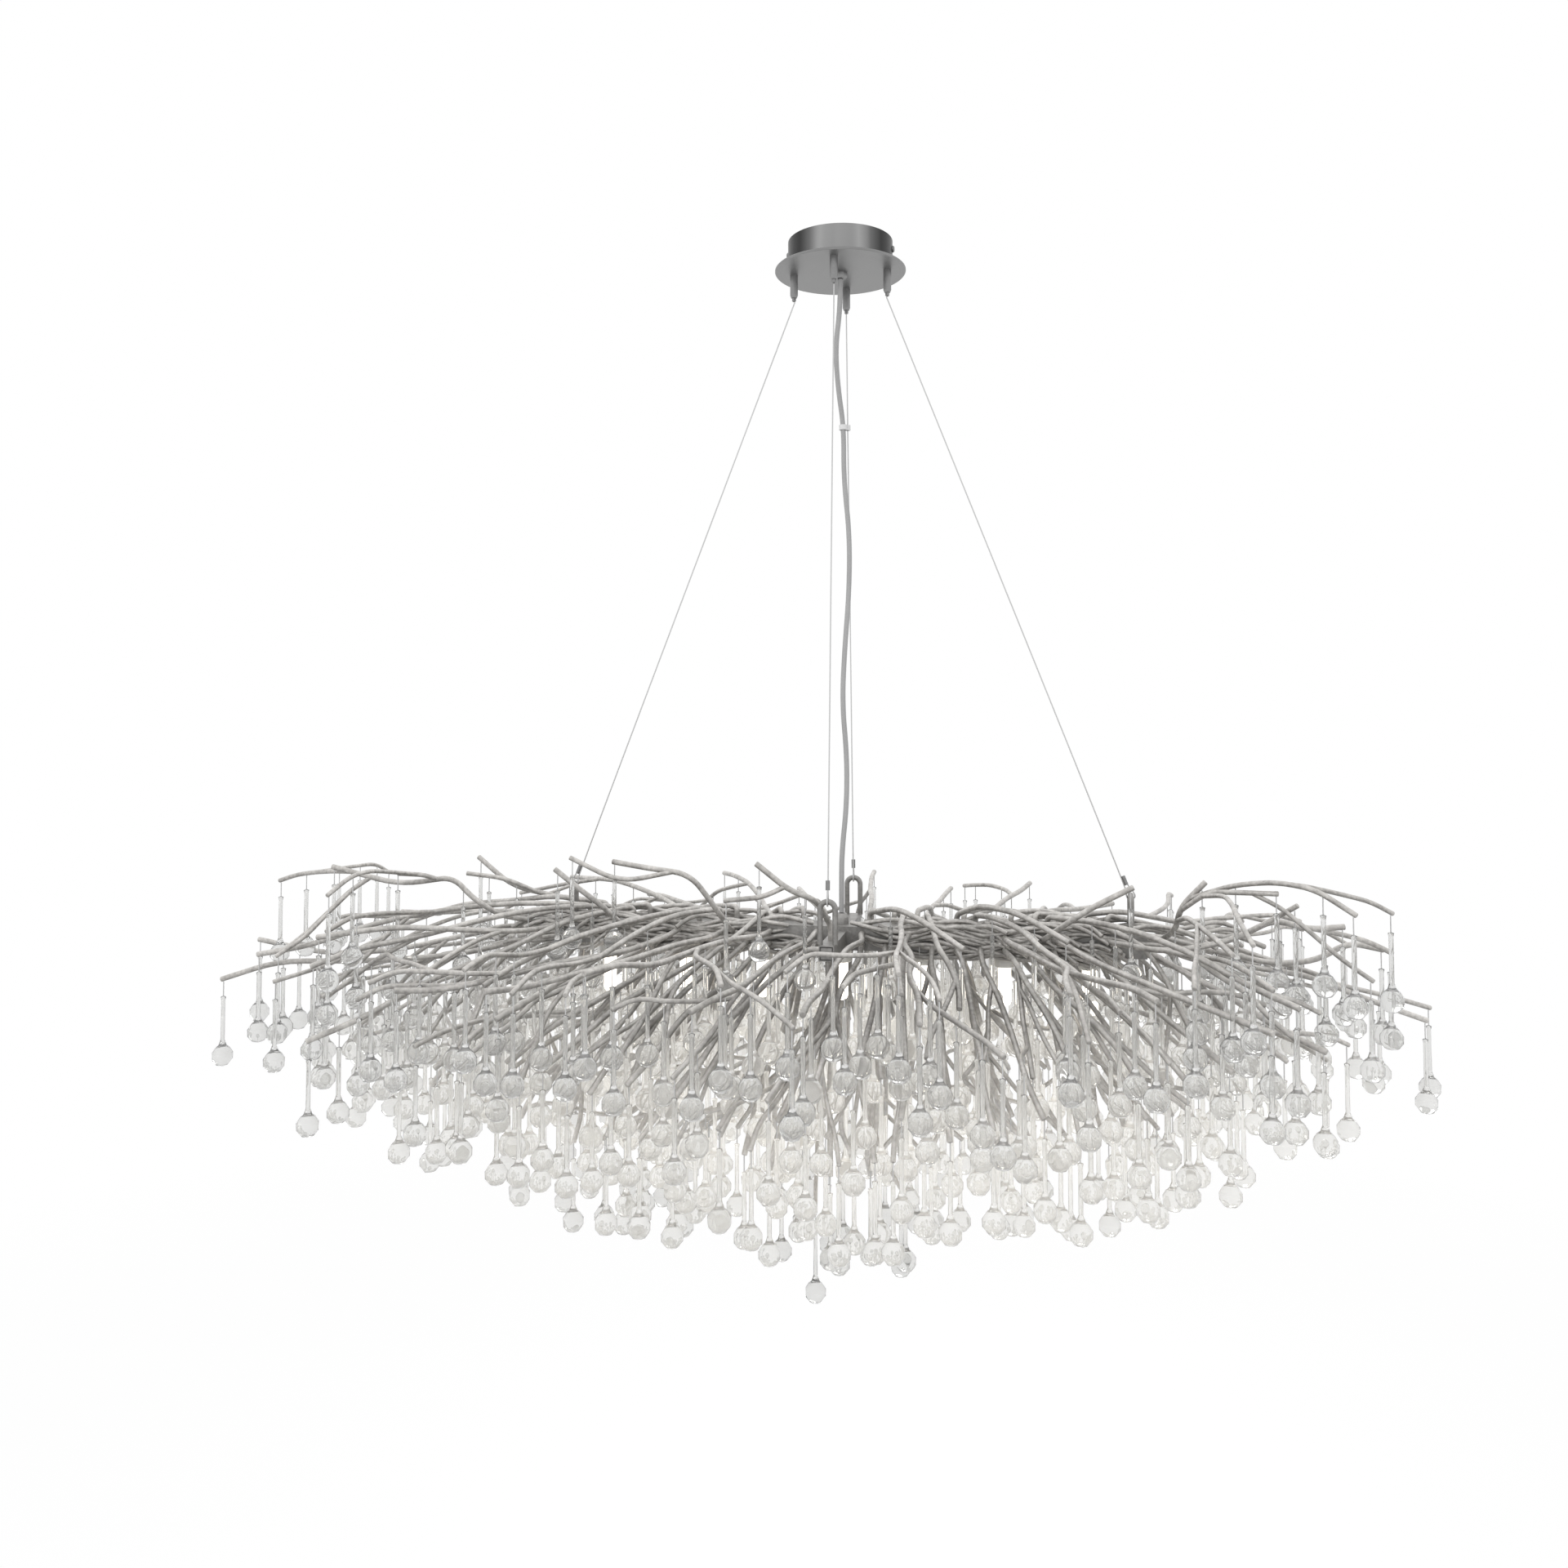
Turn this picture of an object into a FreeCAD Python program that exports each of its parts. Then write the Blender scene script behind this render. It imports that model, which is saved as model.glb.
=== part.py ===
import FreeCAD, Part
import Sketcher

import math
import os
import random

from FreeCAD import Placement, Rotation, Vector

# An oblong branch chandelier. A round canopy carries four steel wires and a cord. The wires hold
# a hollow spine with a crossbar, bent rods spread from the spine like branches, and a clear
# glass drop hangs on a fine wire link from the tip of each rod.
#
# Millimetres. The origin is the middle of the ceiling face, +Z up, and the spine lies along X.
# The front of the object faces -Y.

# Driving sizes
SIZES = [
    ("flange_dia", 150, "canopy plate, across"),
    ("flange_thick", 3, "canopy plate"),
    ("flange_bevel", 0.8, "canopy plate rim"),
    ("cup_dia", 120, "canopy wall, across outside"),
    ("cup_wall", 1.5, "canopy wall"),
    ("canopy_height", 35, "ceiling to the plate's underside"),
    ("bracket_thick", 2, "ceiling bracket strip"),
    ("bracket_width", 24, "ceiling bracket strip"),
    ("bracket_tab", 18, "length of the bent ends"),
    ("bracket_gap", 0.3, "bent end to canopy wall"),
    ("fixing_spacing", 70, "between the ceiling screws"),
    ("fixing_hole", 5.2, "ceiling screw hole"),
    ("screw_dia", 4, "canopy screw shank"),
    ("screw_head", 7.5, "canopy screw head, across"),
    ("screw_head_high", 2.4, "canopy screw head"),
    ("screw_length", 9, "canopy screw shank"),
    ("screw_level", 11, "canopy screws below the ceiling"),
    ("screw_play", 0.1, "screw to hole, all round"),
    ("block_length", 34, "terminal block"),
    ("block_width", 16, "terminal block"),
    ("block_height", 13, "terminal block"),
    ("block_bore", 3.4, "terminal block ways"),
    ("block_pitch", 10, "between the ways"),
    ("gland_head", 16, "cord gland head, across"),
    ("gland_head_high", 7, "cord gland head"),
    ("gland_shank", 10, "cord gland thread"),
    ("gland_nut_dia", 15, "cord gland nut"),
    ("gland_nut_high", 4, "cord gland nut"),
    ("gland_play", 0.1, "gland to its hole, all round"),
    ("cord_dia", 6, "round power cord"),
    ("cord_play", 0.3, "cord to the gland's bore, all round"),
    ("anchor_radius", 54, "canopy middle to each wire"),
    ("gripper_dia", 9, "wire gripper"),
    ("gripper_length", 26, "wire gripper below the plate"),
    ("gripper_thread", 5, "wire gripper thread"),
    ("gripper_nut_dia", 8, "wire gripper nut"),
    ("gripper_nut_high", 4, "wire gripper nut"),
    ("plunger_dia", 4.6, "release plunger"),
    ("plunger_out", 4, "release plunger standing out"),
    ("plunger_in", 9, "release plunger inside the gripper"),
    ("plunger_travel", 2, "release plunger stroke"),
    ("plunger_play", 0.08, "release plunger to its bore, all round"),
    ("wire_dia", 1.5, "suspension wire"),
    ("wire_play", 0.35, "wire to a bore, all round"),
    ("wire_gap", 0.6, "wire end to the plunger face"),
    ("ferrule_dia", 4.6, "crimped sleeve on the wire"),
    ("ferrule_length", 10, "crimped sleeve on the wire"),
    ("eye_play", 0.6, "wire eye to the loop it hooks"),
    ("clip_high", 6, "cord clip"),
    ("clip_wall", 1.2, "cord clip"),
    ("clip_play", 0.8, "cord clip to the cord, all round"),
    ("clip_eye_play", 1.4, "cord clip to the back wire, all round"),
    ("hang_drop", 677, "gripper's lower end to the hanging loops"),
    ("loop_rise", 39, "hanging loop's bar above the spine"),
    ("loop_rod", 6, "hanging loop's rod"),
    ("loop_wide", 16, "between the loop's leg axes"),
    ("long_hang", 315, "middle to the left and right loops"),
    ("cross_hang", 110, "middle to the front and back loops"),
    ("spine_length", 660, "spine over its end caps"),
    ("spine_width", 40, "spine"),
    ("spine_height", 26, "spine with its cover"),
    ("spine_wall", 1.5, "spine channel and cover"),
    ("cap_thick", 3, "spine end caps"),
    ("cross_reach", 120, "middle to the crossbar's end"),
    ("cross_size", 16, "crossbar, square"),
    ("cross_wall", 2, "crossbar wall"),
    ("post_dia", 8, "cover screw post"),
    ("cover_screw", 3, "cover screw shank"),
    ("cover_head", 6, "cover screw head, across"),
    ("cover_head_high", 2, "cover screw head"),
    ("cover_grip", 8, "cover screw's depth in its post"),
    ("cover_pitch", 150, "between the cover screws"),
    ("inlet_dia", 16, "cord inlet on the spine"),
    ("inlet_high", 12, "cord inlet above the spine"),
    ("wiring_dia", 4, "insulated leads in the spine"),
    ("lamp_count", 7, "lamps under the spine"),
    ("lamp_pitch", 90, "between the lamps"),
    ("holder_dia", 22, "lamp holder"),
    ("holder_high", 16, "lamp holder below the spine"),
    ("holder_neck", 8, "lamp holder's threaded neck"),
    ("holder_socket", 8, "depth of the lamp's seat"),
    ("bulb_dia", 14, "capsule lamp"),
    ("bulb_length", 50, "capsule lamp"),
    ("bulb_play", 0.3, "lamp to its socket"),
    ("arm_dia", 6, "rods that leave the spine"),
    ("twig_dia", 5.2, "rods that leave an arm"),
    ("spur_dia", 4.6, "rods that leave a twig"),
    ("tip_round", 1.2, "rounding of a rod's tip"),
    ("rod_gap", 1.5, "least air between two rods"),
    ("crown_length", 1296, "spread of the tips along X"),
    ("crown_width", 660, "spread of the tips along Y"),
    ("crown_shift", 47, "spread's middle, left of the canopy"),
    ("bowl_low", 244, "lowest ring of tips below the spine"),
    ("bowl_rise", 205, "how much higher the outer tips are"),
    ("heart_low", 92, "how much lower the middle tips are"),
    ("heart_wide", 95, "half width of that middle group"),
    ("tip_scatter", 115, "spread of the tips in height"),
    ("drop_pitch", 50, "between neighbouring drops in plan"),
    ("drop_dia", 24, "glass ball"),
    ("drop_length", 80, "glass drop, knob to ball"),
    ("neck_dia", 4.6, "glass neck"),
    ("flare_radius", 40, "hollow curve from neck to ball"),
    ("knob_dia", 6, "glass knob"),
    ("knob_high", 5, "glass knob"),
    ("knob_flat", 2.4, "flat on the knob's top"),
    ("drop_gap", 2.2, "least air round a drop"),
    ("link_dia", 1.2, "wire link"),
    ("link_length", 16, "wire link between rod and knob"),
    ("link_gap", 0.12, "wire link to the rod"),
    ("swing_angle", 10, "degrees a hanging drop swings each way"),
]

doc = FreeCAD.newDocument("Chandelier")
sheet = doc.addObject("Spreadsheet::Sheet", "Sizes")
for row, (alias, value, meaning) in enumerate(SIZES, start=1):
    sheet.set(f"A{row}", meaning)
    sheet.set(f"B{row}", str(value))
    sheet.setAlias(f"B{row}", alias)
doc.recompute()

nodes = []


def size(alias):
    """A driving size, read from the sheet."""
    return float(sheet.get(alias))


def worked(expression):
    """The value of an expression on the sheet's sizes."""
    return float(sheet.evalExpression(expression))


def named(expression):
    """An expression with each driving size's name tied to the sheet."""
    words = expression.replace("(", "( ").replace(")", " )").split()
    aliases = {alias for alias, _, _ in SIZES}
    return " ".join("Sizes." + w if w in aliases else w for w in words)


# Levels, as expressions on the driving sizes
PLATE_TOP = "flange_thick - canopy_height"
PLATE_UNDER = "0 - canopy_height"
GRIPPER_END = "0 - canopy_height - gripper_length"
BAR_LEVEL = "0 - canopy_height - gripper_length - hang_drop"
SPINE_TOP = BAR_LEVEL + " - loop_rise"
CHANNEL_TOP = SPINE_TOP + " - spine_wall"
SPINE_UNDER = SPINE_TOP + " - spine_height"
SPINE_MIDDLE = SPINE_TOP + " - spine_height / 2"
CROSS_TOP = SPINE_MIDDLE + " + cross_size / 2"


def level(expression):
    return worked(named(expression))


# Helpers for turned and pressed pieces


def new_body(label):
    body = doc.addObject("PartDesign::Body", label)
    body.Label = label
    nodes.append(body)
    return body


def new_sketch(body, role, name):
    sketch = body.newObject("Sketcher::SketchObject", name)
    plane = next(f for f in body.Origin.OriginFeatures if f.Role == role)
    sketch.AttachmentSupport = [(plane, "")]
    sketch.MapMode = "FlatFace"
    return sketch


def pin(sketch, geometry, point, across, up):
    """Ties a point of a sketch to two expressions."""
    for kind, expression in (("DistanceX", across), ("DistanceY", up)):
        value = level(expression)
        rule = Sketcher.Constraint(kind, -1, 1, geometry, point, value)
        number = sketch.addConstraint(rule)
        sketch.setExpression(f"Constraints[{number}]", named(expression))


def outline(sketch, corners):
    """A closed outline through corners given as pairs of expressions."""
    first = sketch.GeometryCount
    points = [Vector(level(u), level(v), 0) for u, v in corners]
    count = len(points)
    for n in range(count):
        sketch.addGeometry(Part.LineSegment(points[n], points[(n + 1) % count]))
    for n in range(count):
        after = first + (n + 1) % count
        sketch.addConstraint(Sketcher.Constraint("Coincident", first + n, 2, after, 1))
    for n, (u, v) in enumerate(corners):
        pin(sketch, first + n, 1, u, v)


def box_corners(low_u, low_v, high_u, high_v):
    return [(low_u, low_v), (high_u, low_v), (high_u, high_v), (low_u, high_v)]


def ring(sketch, across, up, radius):
    """A circle with its centre and radius given as expressions."""
    middle = Vector(level(across), level(up), 0)
    number = sketch.addGeometry(Part.Circle(middle, Vector(0, 0, 1), level(radius)))
    rule = Sketcher.Constraint("Radius", number, level(radius))
    sketch.setExpression(f"Constraints[{sketch.addConstraint(rule)}]", named(radius))
    pin(sketch, number, 3, across, up)


def turned(label, corners, role="XZ_Plane", axis_at="0", lying=False):
    """A piece turned about an upright or a lying axis at a distance from the sketch's origin."""
    body = new_body(label)
    sketch = new_sketch(body, role, label + "_profile")
    outline(sketch, corners)
    far = level(axis_at)
    ends = (Vector(0, far, 0), Vector(50, far, 0)) if lying else (Vector(far, 0, 0), Vector(far, 50, 0))
    line = sketch.addGeometry(Part.LineSegment(*ends), True)
    pin(sketch, line, 1, "0" if lying else axis_at, axis_at if lying else "0")
    pin(sketch, line, 2, "50" if lying else axis_at, axis_at if lying else "50")
    turn = body.newObject("PartDesign::Revolution", label + "_turn")
    turn.Profile = sketch
    turn.ReferenceAxis = (sketch, ["Axis0"])
    turn.Angle = 360
    doc.recompute()
    return body, turn


def padded(body, sketch, length, both_ways=True):
    """Pads a sketch by a length, evenly both ways or one way."""
    pad = body.newObject("PartDesign::Pad", sketch.Name + "_pad")
    pad.Profile = sketch
    pad.setExpression("Length", named(length))
    pad.Midplane = both_ways
    doc.recompute()
    return pad


def pocket(body, sketch, both_ways=True, flip=False):
    """Cuts a sketch right through, one way or both ways."""
    cut = body.newObject("PartDesign::Pocket", sketch.Name + "_cut")
    cut.Profile = sketch
    cut.Type = "ThroughAll"
    cut.Midplane = both_ways
    cut.Reversed = flip
    doc.recompute()
    return cut


def raised(sketch, expression):
    """Lifts a sketch off its plane."""
    sketch.setExpression(".AttachmentOffset.Base.z", named(expression))


def round_pattern(body, feature, count):
    """Repeats a feature round the upright axis."""
    pattern = body.newObject("PartDesign::PolarPattern", feature.Name + "_round")
    axis = next(f for f in body.Origin.OriginFeatures if f.Role == "Z_Axis")
    pattern.Originals = [feature]
    pattern.Axis = (axis, [""])
    pattern.Angle = 360
    pattern.Occurrences = count
    body.Tip = pattern
    doc.recompute()


def row_pattern(body, feature, length, count):
    """Repeats a feature along X over a length."""
    pattern = body.newObject("PartDesign::LinearPattern", feature.Name + "_row")
    axis = next(f for f in body.Origin.OriginFeatures if f.Role == "X_Axis")
    pattern.Originals = [feature]
    pattern.Direction = (axis, [""])
    pattern.setExpression("Length", named(length))
    pattern.setExpression("Occurrences", named(count))
    body.Tip = pattern
    doc.recompute()


# Canopy


def ceiling_bracket():
    body = new_body("ceiling_bracket")
    half = "( sqrt( ( cup_dia / 2 - cup_wall ) ^ 2 - ( bracket_width / 2 ) ^ 2 ) - bracket_gap )"
    inner = half + " - bracket_thick"
    sketch = new_sketch(body, "XZ_Plane", "bracket_strip")
    outline(sketch, [
        ("0 - " + half, "0"), (half, "0"), (half, "0 - bracket_tab"), (inner, "0 - bracket_tab"),
        (inner, "0 - bracket_thick"), ("bracket_thick - " + half, "0 - bracket_thick"),
        ("bracket_thick - " + half, "0 - bracket_tab"), ("0 - " + half, "0 - bracket_tab"),
    ])
    padded(body, sketch, "bracket_width")
    holes = new_sketch(body, "XY_Plane", "bracket_fixings")
    ring(holes, "fixing_spacing / 2", "0", "fixing_hole / 2")
    ring(holes, "0 - fixing_spacing / 2", "0", "fixing_hole / 2")
    pocket(body, holes)
    taps = new_sketch(body, "YZ_Plane", "bracket_taps")
    ring(taps, "0", "0 - screw_level", "screw_dia / 2 + screw_play")
    pocket(body, taps)


def canopy_cup():
    outer, inner = "cup_dia / 2", "cup_dia / 2 - cup_wall"
    body, _ = turned("canopy_cup", box_corners(inner, PLATE_TOP, outer, "0"))
    holes = new_sketch(body, "YZ_Plane", "cup_holes")
    ring(holes, "0", "0 - screw_level", "screw_dia / 2 + screw_play")
    pocket(body, holes)


def canopy_plate():
    hole, rim = "gland_shank / 2 + gland_play", "flange_dia / 2"
    body, _ = turned("canopy_plate", [
        (hole, PLATE_UNDER), (rim + " - flange_bevel", PLATE_UNDER),
        (rim, PLATE_UNDER + " + flange_bevel"), (rim, PLATE_TOP + " - flange_bevel"),
        (rim + " - flange_bevel", PLATE_TOP), (hole, PLATE_TOP),
    ])
    anchors = new_sketch(body, "XY_Plane", "plate_anchors")
    ring(anchors, "anchor_radius", "0", "gripper_thread / 2 + gland_play")
    round_pattern(body, pocket(body, anchors), 4)


def side_screws():
    out, deep = "cup_dia / 2", "cup_dia / 2 - screw_length"
    axis = "0 - screw_level"
    shank, head = axis + " + screw_dia / 2", axis + " + screw_head / 2"
    body, turn = turned("side_screws", [
        (deep, axis), (out + " + screw_head_high", axis),
        (out + " + screw_head_high", head + " - screw_head_high / 2"),
        (out + " + screw_head_high / 2", head), (out, head), (out, shank), (deep, shank),
    ], axis_at=axis, lying=True)
    round_pattern(body, turn, 2)


def terminal_block():
    body = new_body("terminal_block")
    sketch = new_sketch(body, "XZ_Plane", "block_face")
    top = "0 - bracket_thick"
    outline(sketch, box_corners(
        "0 - block_length / 2", top + " - block_height", "block_length / 2", top))
    padded(body, sketch, "block_width")
    ways = new_sketch(body, "XZ_Plane", "block_ways")
    ring(ways, "0 - block_pitch", top + " - block_height / 2", "block_bore / 2")
    row_pattern(body, pocket(body, ways), "2 * block_pitch", "3")


def cord_gland():
    bore, shank, head = "cord_dia / 2 + cord_play", "gland_shank / 2", "gland_head / 2"
    top = PLATE_TOP + " + gland_nut_high + 1"
    low = PLATE_UNDER + " - gland_head_high"
    turned("cord_gland", [
        (bore, low), (head + " - 2", low), (head, low + " + 3"), (head, PLATE_UNDER),
        (shank, PLATE_UNDER), (shank, top), (bore, top),
    ])
    inner = "gland_shank / 2 + gland_play"
    turned("gland_nut", box_corners(
        inner, PLATE_TOP, "gland_nut_dia / 2", PLATE_TOP + " + gland_nut_high"))


def wire_grippers():
    """Threaded through the plate, with a counterbore below for the release plunger."""
    axis, bore = "anchor_radius", "anchor_radius + wire_dia / 2 + wire_play"
    barrel = "anchor_radius + gripper_dia / 2"
    thread = "anchor_radius + gripper_thread / 2"
    seat = "anchor_radius + plunger_dia / 2 + plunger_play"
    top = PLATE_TOP + " + gripper_nut_high + 1"
    body, turn = turned("wire_grippers", [
        (bore, top), (thread, top), (thread, PLATE_UNDER), (barrel, PLATE_UNDER),
        (barrel, GRIPPER_END + " + 3"), (barrel + " - 1.2", GRIPPER_END), (seat, GRIPPER_END),
        (seat, GRIPPER_END + " + plunger_in + plunger_travel + 0.5"),
        (bore, GRIPPER_END + " + plunger_in + plunger_travel + 0.5"),
    ], axis_at=axis)
    round_pattern(body, turn, 4)
    body, turn = turned("gripper_nuts", box_corners(
        thread + " + gland_play", PLATE_TOP,
        "anchor_radius + gripper_nut_dia / 2", PLATE_TOP + " + gripper_nut_high"), axis_at=axis)
    round_pattern(body, turn, 4)


SIDES = [("left", "XZ_Plane", "0 -"), ("right", "XZ_Plane", "0 +"),
         ("front", "YZ_Plane", "0 -"), ("back", "YZ_Plane", "0 +")]


def gripper_plungers():
    """Pushed up, each one frees its wire."""
    for side, role, sign in SIDES:
        axis = sign + " anchor_radius"
        bore, wall = axis + " + wire_dia / 2 + wire_play", axis + " + plunger_dia / 2"
        low, top = GRIPPER_END + " - plunger_out", GRIPPER_END + " + plunger_in"
        turned("gripper_plunger_" + side, [
            (bore, low), (wall + " - 0.5", low), (wall, low + " + 0.5"), (wall, top), (bore, top),
        ], role=role, axis_at=axis)


# Spine


def spine():
    half, wall = "spine_width / 2", "spine_wall"
    body = new_body("spine_channel")
    sketch = new_sketch(body, "YZ_Plane", "channel_section")
    outline(sketch, [
        ("0 - " + half, CHANNEL_TOP), ("0 - " + half, SPINE_UNDER), (half, SPINE_UNDER),
        (half, CHANNEL_TOP), (half + " - " + wall, CHANNEL_TOP),
        (half + " - " + wall, SPINE_UNDER + " + " + wall),
        (wall + " - " + half, SPINE_UNDER + " + " + wall), (wall + " - " + half, CHANNEL_TOP),
    ])
    padded(body, sketch, "spine_length - 2 * cap_thick")
    posts = new_sketch(body, "XY_Plane", "channel_posts")
    raised(posts, SPINE_UNDER + " + spine_wall")
    ring(posts, "0 - 1.5 * cover_pitch", "0", "post_dia / 2")
    studs = padded(body, posts, "spine_height - 2 * spine_wall", both_ways=False)
    row_pattern(body, studs, "3 * cover_pitch", "4")
    taps = new_sketch(body, "XY_Plane", "channel_taps")
    raised(taps, CHANNEL_TOP)
    ring(taps, "0 - 1.5 * cover_pitch", "0", "cover_screw / 2 + screw_play")
    bore = body.newObject("PartDesign::Pocket", "channel_tap_bore")
    bore.Profile = taps
    bore.setExpression("Length", named("cover_grip + 1"))
    doc.recompute()
    row_pattern(body, bore, "3 * cover_pitch", "4")
    holes = new_sketch(body, "XY_Plane", "channel_lamp_holes")
    raised(holes, SPINE_UNDER + " + spine_wall / 2")
    ring(holes, "0 - lamp_pitch * ( lamp_count - 1 ) / 2", "0", "holder_neck / 2 + 0.1")
    row_pattern(body, pocket(body, holes), "lamp_pitch * ( lamp_count - 1 )", "lamp_count")

    body = new_body("spine_cover")
    plate = new_sketch(body, "XY_Plane", "cover_plate")
    raised(plate, CHANNEL_TOP)
    reach = "( spine_length / 2 - cap_thick )"
    outline(plate, box_corners("0 - " + reach, "0 - " + half, reach, half))
    padded(body, plate, "spine_wall", both_ways=False)
    inlet = new_sketch(body, "XY_Plane", "cover_inlet")
    raised(inlet, CHANNEL_TOP)
    ring(inlet, "0", "0", "gland_shank / 2 + gland_play")
    pocket(body, inlet)
    screws = new_sketch(body, "XY_Plane", "cover_holes")
    raised(screws, CHANNEL_TOP)
    ring(screws, "0 - 1.5 * cover_pitch", "0", "cover_screw / 2 + screw_play")
    row_pattern(body, pocket(body, screws), "3 * cover_pitch", "4")

    body = new_body("spine_end_caps")
    cap = new_sketch(body, "YZ_Plane", "cap_face")
    raised(cap, "spine_length / 2 - cap_thick")
    outline(cap, box_corners("0 - " + half, SPINE_UNDER, half, SPINE_TOP))
    round_pattern(body, padded(body, cap, "cap_thick", both_ways=False), 2)


def cover_fixings():
    """The screws that hold the cover to the channel's posts."""
    start = "0 - 1.5 * cover_pitch"
    shank, deep = start + " + cover_screw / 2", CHANNEL_TOP + " - cover_grip"
    head, top = start + " + cover_head / 2", SPINE_TOP + " + cover_head_high"
    body, turn = turned("cover_screws", [
        (start, deep), (shank, deep), (shank, SPINE_TOP), (head, SPINE_TOP),
        (head, top + " - 0.8"), (head + " - 0.8", top), (start, top),
    ], axis_at=start)
    row_pattern(body, turn, "3 * cover_pitch", "4")


def crossbars():
    """Two square tubes that butt on the spine's sides, closed at their outer ends."""
    body = new_body("crossbars")
    half, inner = "cross_size / 2", "( cross_size / 2 - cross_wall )"
    sketch = new_sketch(body, "XZ_Plane", "crossbar_section")
    raised(sketch, "0 - cross_reach")
    outline(sketch, box_corners(
        "0 - " + half, SPINE_MIDDLE + " - " + half, half, SPINE_MIDDLE + " + " + half))
    tube = padded(body, sketch, "cross_reach - spine_width / 2", both_ways=False)
    hollow = new_sketch(body, "XZ_Plane", "crossbar_bore")
    raised(hollow, "0 - cross_reach")
    outline(hollow, box_corners(
        "0 - " + inner, SPINE_MIDDLE + " - " + inner, inner, SPINE_MIDDLE + " + " + inner))
    bore = body.newObject("PartDesign::Pocket", "crossbar_hollow")
    bore.Profile = hollow
    bore.Reversed = True
    bore.setExpression("Length", named("cross_reach - spine_width / 2 - cross_wall"))
    doc.recompute()
    pattern = body.newObject("PartDesign::PolarPattern", "crossbar_pair")
    axis = next(f for f in body.Origin.OriginFeatures if f.Role == "Z_Axis")
    pattern.Originals = [tube, bore]
    pattern.Axis = (axis, [""])
    pattern.Occurrences = 2
    body.Tip = pattern
    doc.recompute()


def cord_inlet():
    """Grips the cord where it enters the spine."""
    bore, head, shank = "cord_dia / 2 + cord_play", "inlet_dia / 2", "gland_shank / 2"
    top, low = SPINE_TOP + " + inlet_high", CHANNEL_TOP + " - 5"
    turned("cord_inlet", [
        (bore, low), (shank, low), (shank, SPINE_TOP), (head, SPINE_TOP),
        (head, top + " - 5"), (head + " - 2.5", top), (bore, top),
    ])


def inside_the_spine():
    body = new_body("junction_block")
    top = SPINE_UNDER + " + spine_wall + block_height"
    sketch = new_sketch(body, "XZ_Plane", "junction_face")
    low = "lamp_pitch / 2 - block_length / 2"
    outline(sketch, box_corners(low, SPINE_UNDER + " + spine_wall", low + " + block_length", top))
    padded(body, sketch, "block_width")

    body = new_body("inner_wiring")
    ends = new_sketch(body, "YZ_Plane", "lead_ends")
    side = "( spine_width / 2 - spine_wall - wiring_dia / 2 - 0.1 )"
    for way in ("", "0 - "):
        ring(ends, way + side, SPINE_UNDER + " + spine_wall + wiring_dia / 2 + 0.1", "wiring_dia / 2")
    padded(body, ends, "lamp_pitch * ( lamp_count - 1 )")


def lamps():
    """Pin sockets under the spine, each with a capsule lamp."""
    start = "0 - lamp_pitch * ( lamp_count - 1 ) / 2"
    run = "lamp_pitch * ( lamp_count - 1 )"
    wall, neck = start + " + holder_dia / 2", start + " + holder_neck / 2"
    low, top = SPINE_UNDER + " - holder_high", SPINE_UNDER + " + spine_wall + 5"
    seat, deep = start + " + bulb_dia / 2 + bulb_play", low + " + holder_socket"
    body, turn = turned("lamp_holders", [
        (start, top), (neck, top), (neck, SPINE_UNDER), (wall, SPINE_UNDER),
        (wall, low + " + 1"), (wall + " - 1", low), (seat, low), (seat, deep), (start, deep),
    ], axis_at=start)
    row_pattern(body, turn, run, "lamp_count")
    glass, end = start + " + bulb_dia / 2", deep + " - bulb_play - bulb_length"
    body, turn = turned("lamp_bulbs", [
        (start, deep + " - bulb_play"), (glass, deep + " - bulb_play"), (glass, end + " + 5"),
        (glass + " - 1.6", end + " + 1.6"), (glass + " - 4.5", end), (start, end),
    ], axis_at=start)
    row_pattern(body, turn, run, "lamp_count")


# Swept pieces: wires, loops, cord and rods


def add(a, b, k=1.0):
    return (a[0] + k * b[0], a[1] + k * b[1], a[2] + k * b[2])


def less(a, b):
    return (a[0] - b[0], a[1] - b[1], a[2] - b[2])


def far(a):
    return math.sqrt(a[0] ** 2 + a[1] ** 2 + a[2] ** 2)


def unit(a):
    length = far(a) or 1.0
    return (a[0] / length, a[1] / length, a[2] / length)


def dot(a, b):
    return a[0] * b[0] + a[1] * b[1] + a[2] * b[2]


def arc_at(corners, n, share):
    """The start, middle and end of the arc at a corner, and its radius.

    It starts at its share of the shorter of its two runs from the corner."""
    into = (corners[n] - corners[n - 1]).normalize()
    out = (corners[n + 1] - corners[n]).normalize()
    turn = into.getAngle(out)
    back = share * min((corners[n] - corners[n - 1]).Length, (corners[n + 1] - corners[n]).Length)
    bend = back / math.tan(turn / 2)
    inward = (out - into).normalize()
    middle = corners[n] + inward * (bend / math.cos(turn / 2) - bend)
    return corners[n] - into * back, middle, corners[n] + out * back, bend


def swept(points, radius, share):
    """A round bar along straight runs joined by tangent arcs, and the radii of its arcs."""
    corners = [Vector(*p) for p in points]
    edges, radii, at = [], [], corners[0]
    for n in range(1, len(corners) - 1):
        start, middle, end, bend = arc_at(corners, n, share)
        edges += [Part.LineSegment(at, start).toShape(), Part.Arc(start, middle, end).toShape()]
        radii.append(bend)
        at = end
    edges.append(Part.LineSegment(at, corners[-1]).toShape())
    path = Part.Wire(edges)
    section = Part.Circle(corners[0], corners[1] - corners[0], radius).toShape()
    bar = path.makePipeShell([Part.Wire(section)], True, False)
    plain = math.pi * radius**2 * path.Length
    if abs(bar.Volume / plain - 1) > 0.01:
        raise ValueError("a swept bar's volume is off its section times its length")
    return bar, radii


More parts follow.
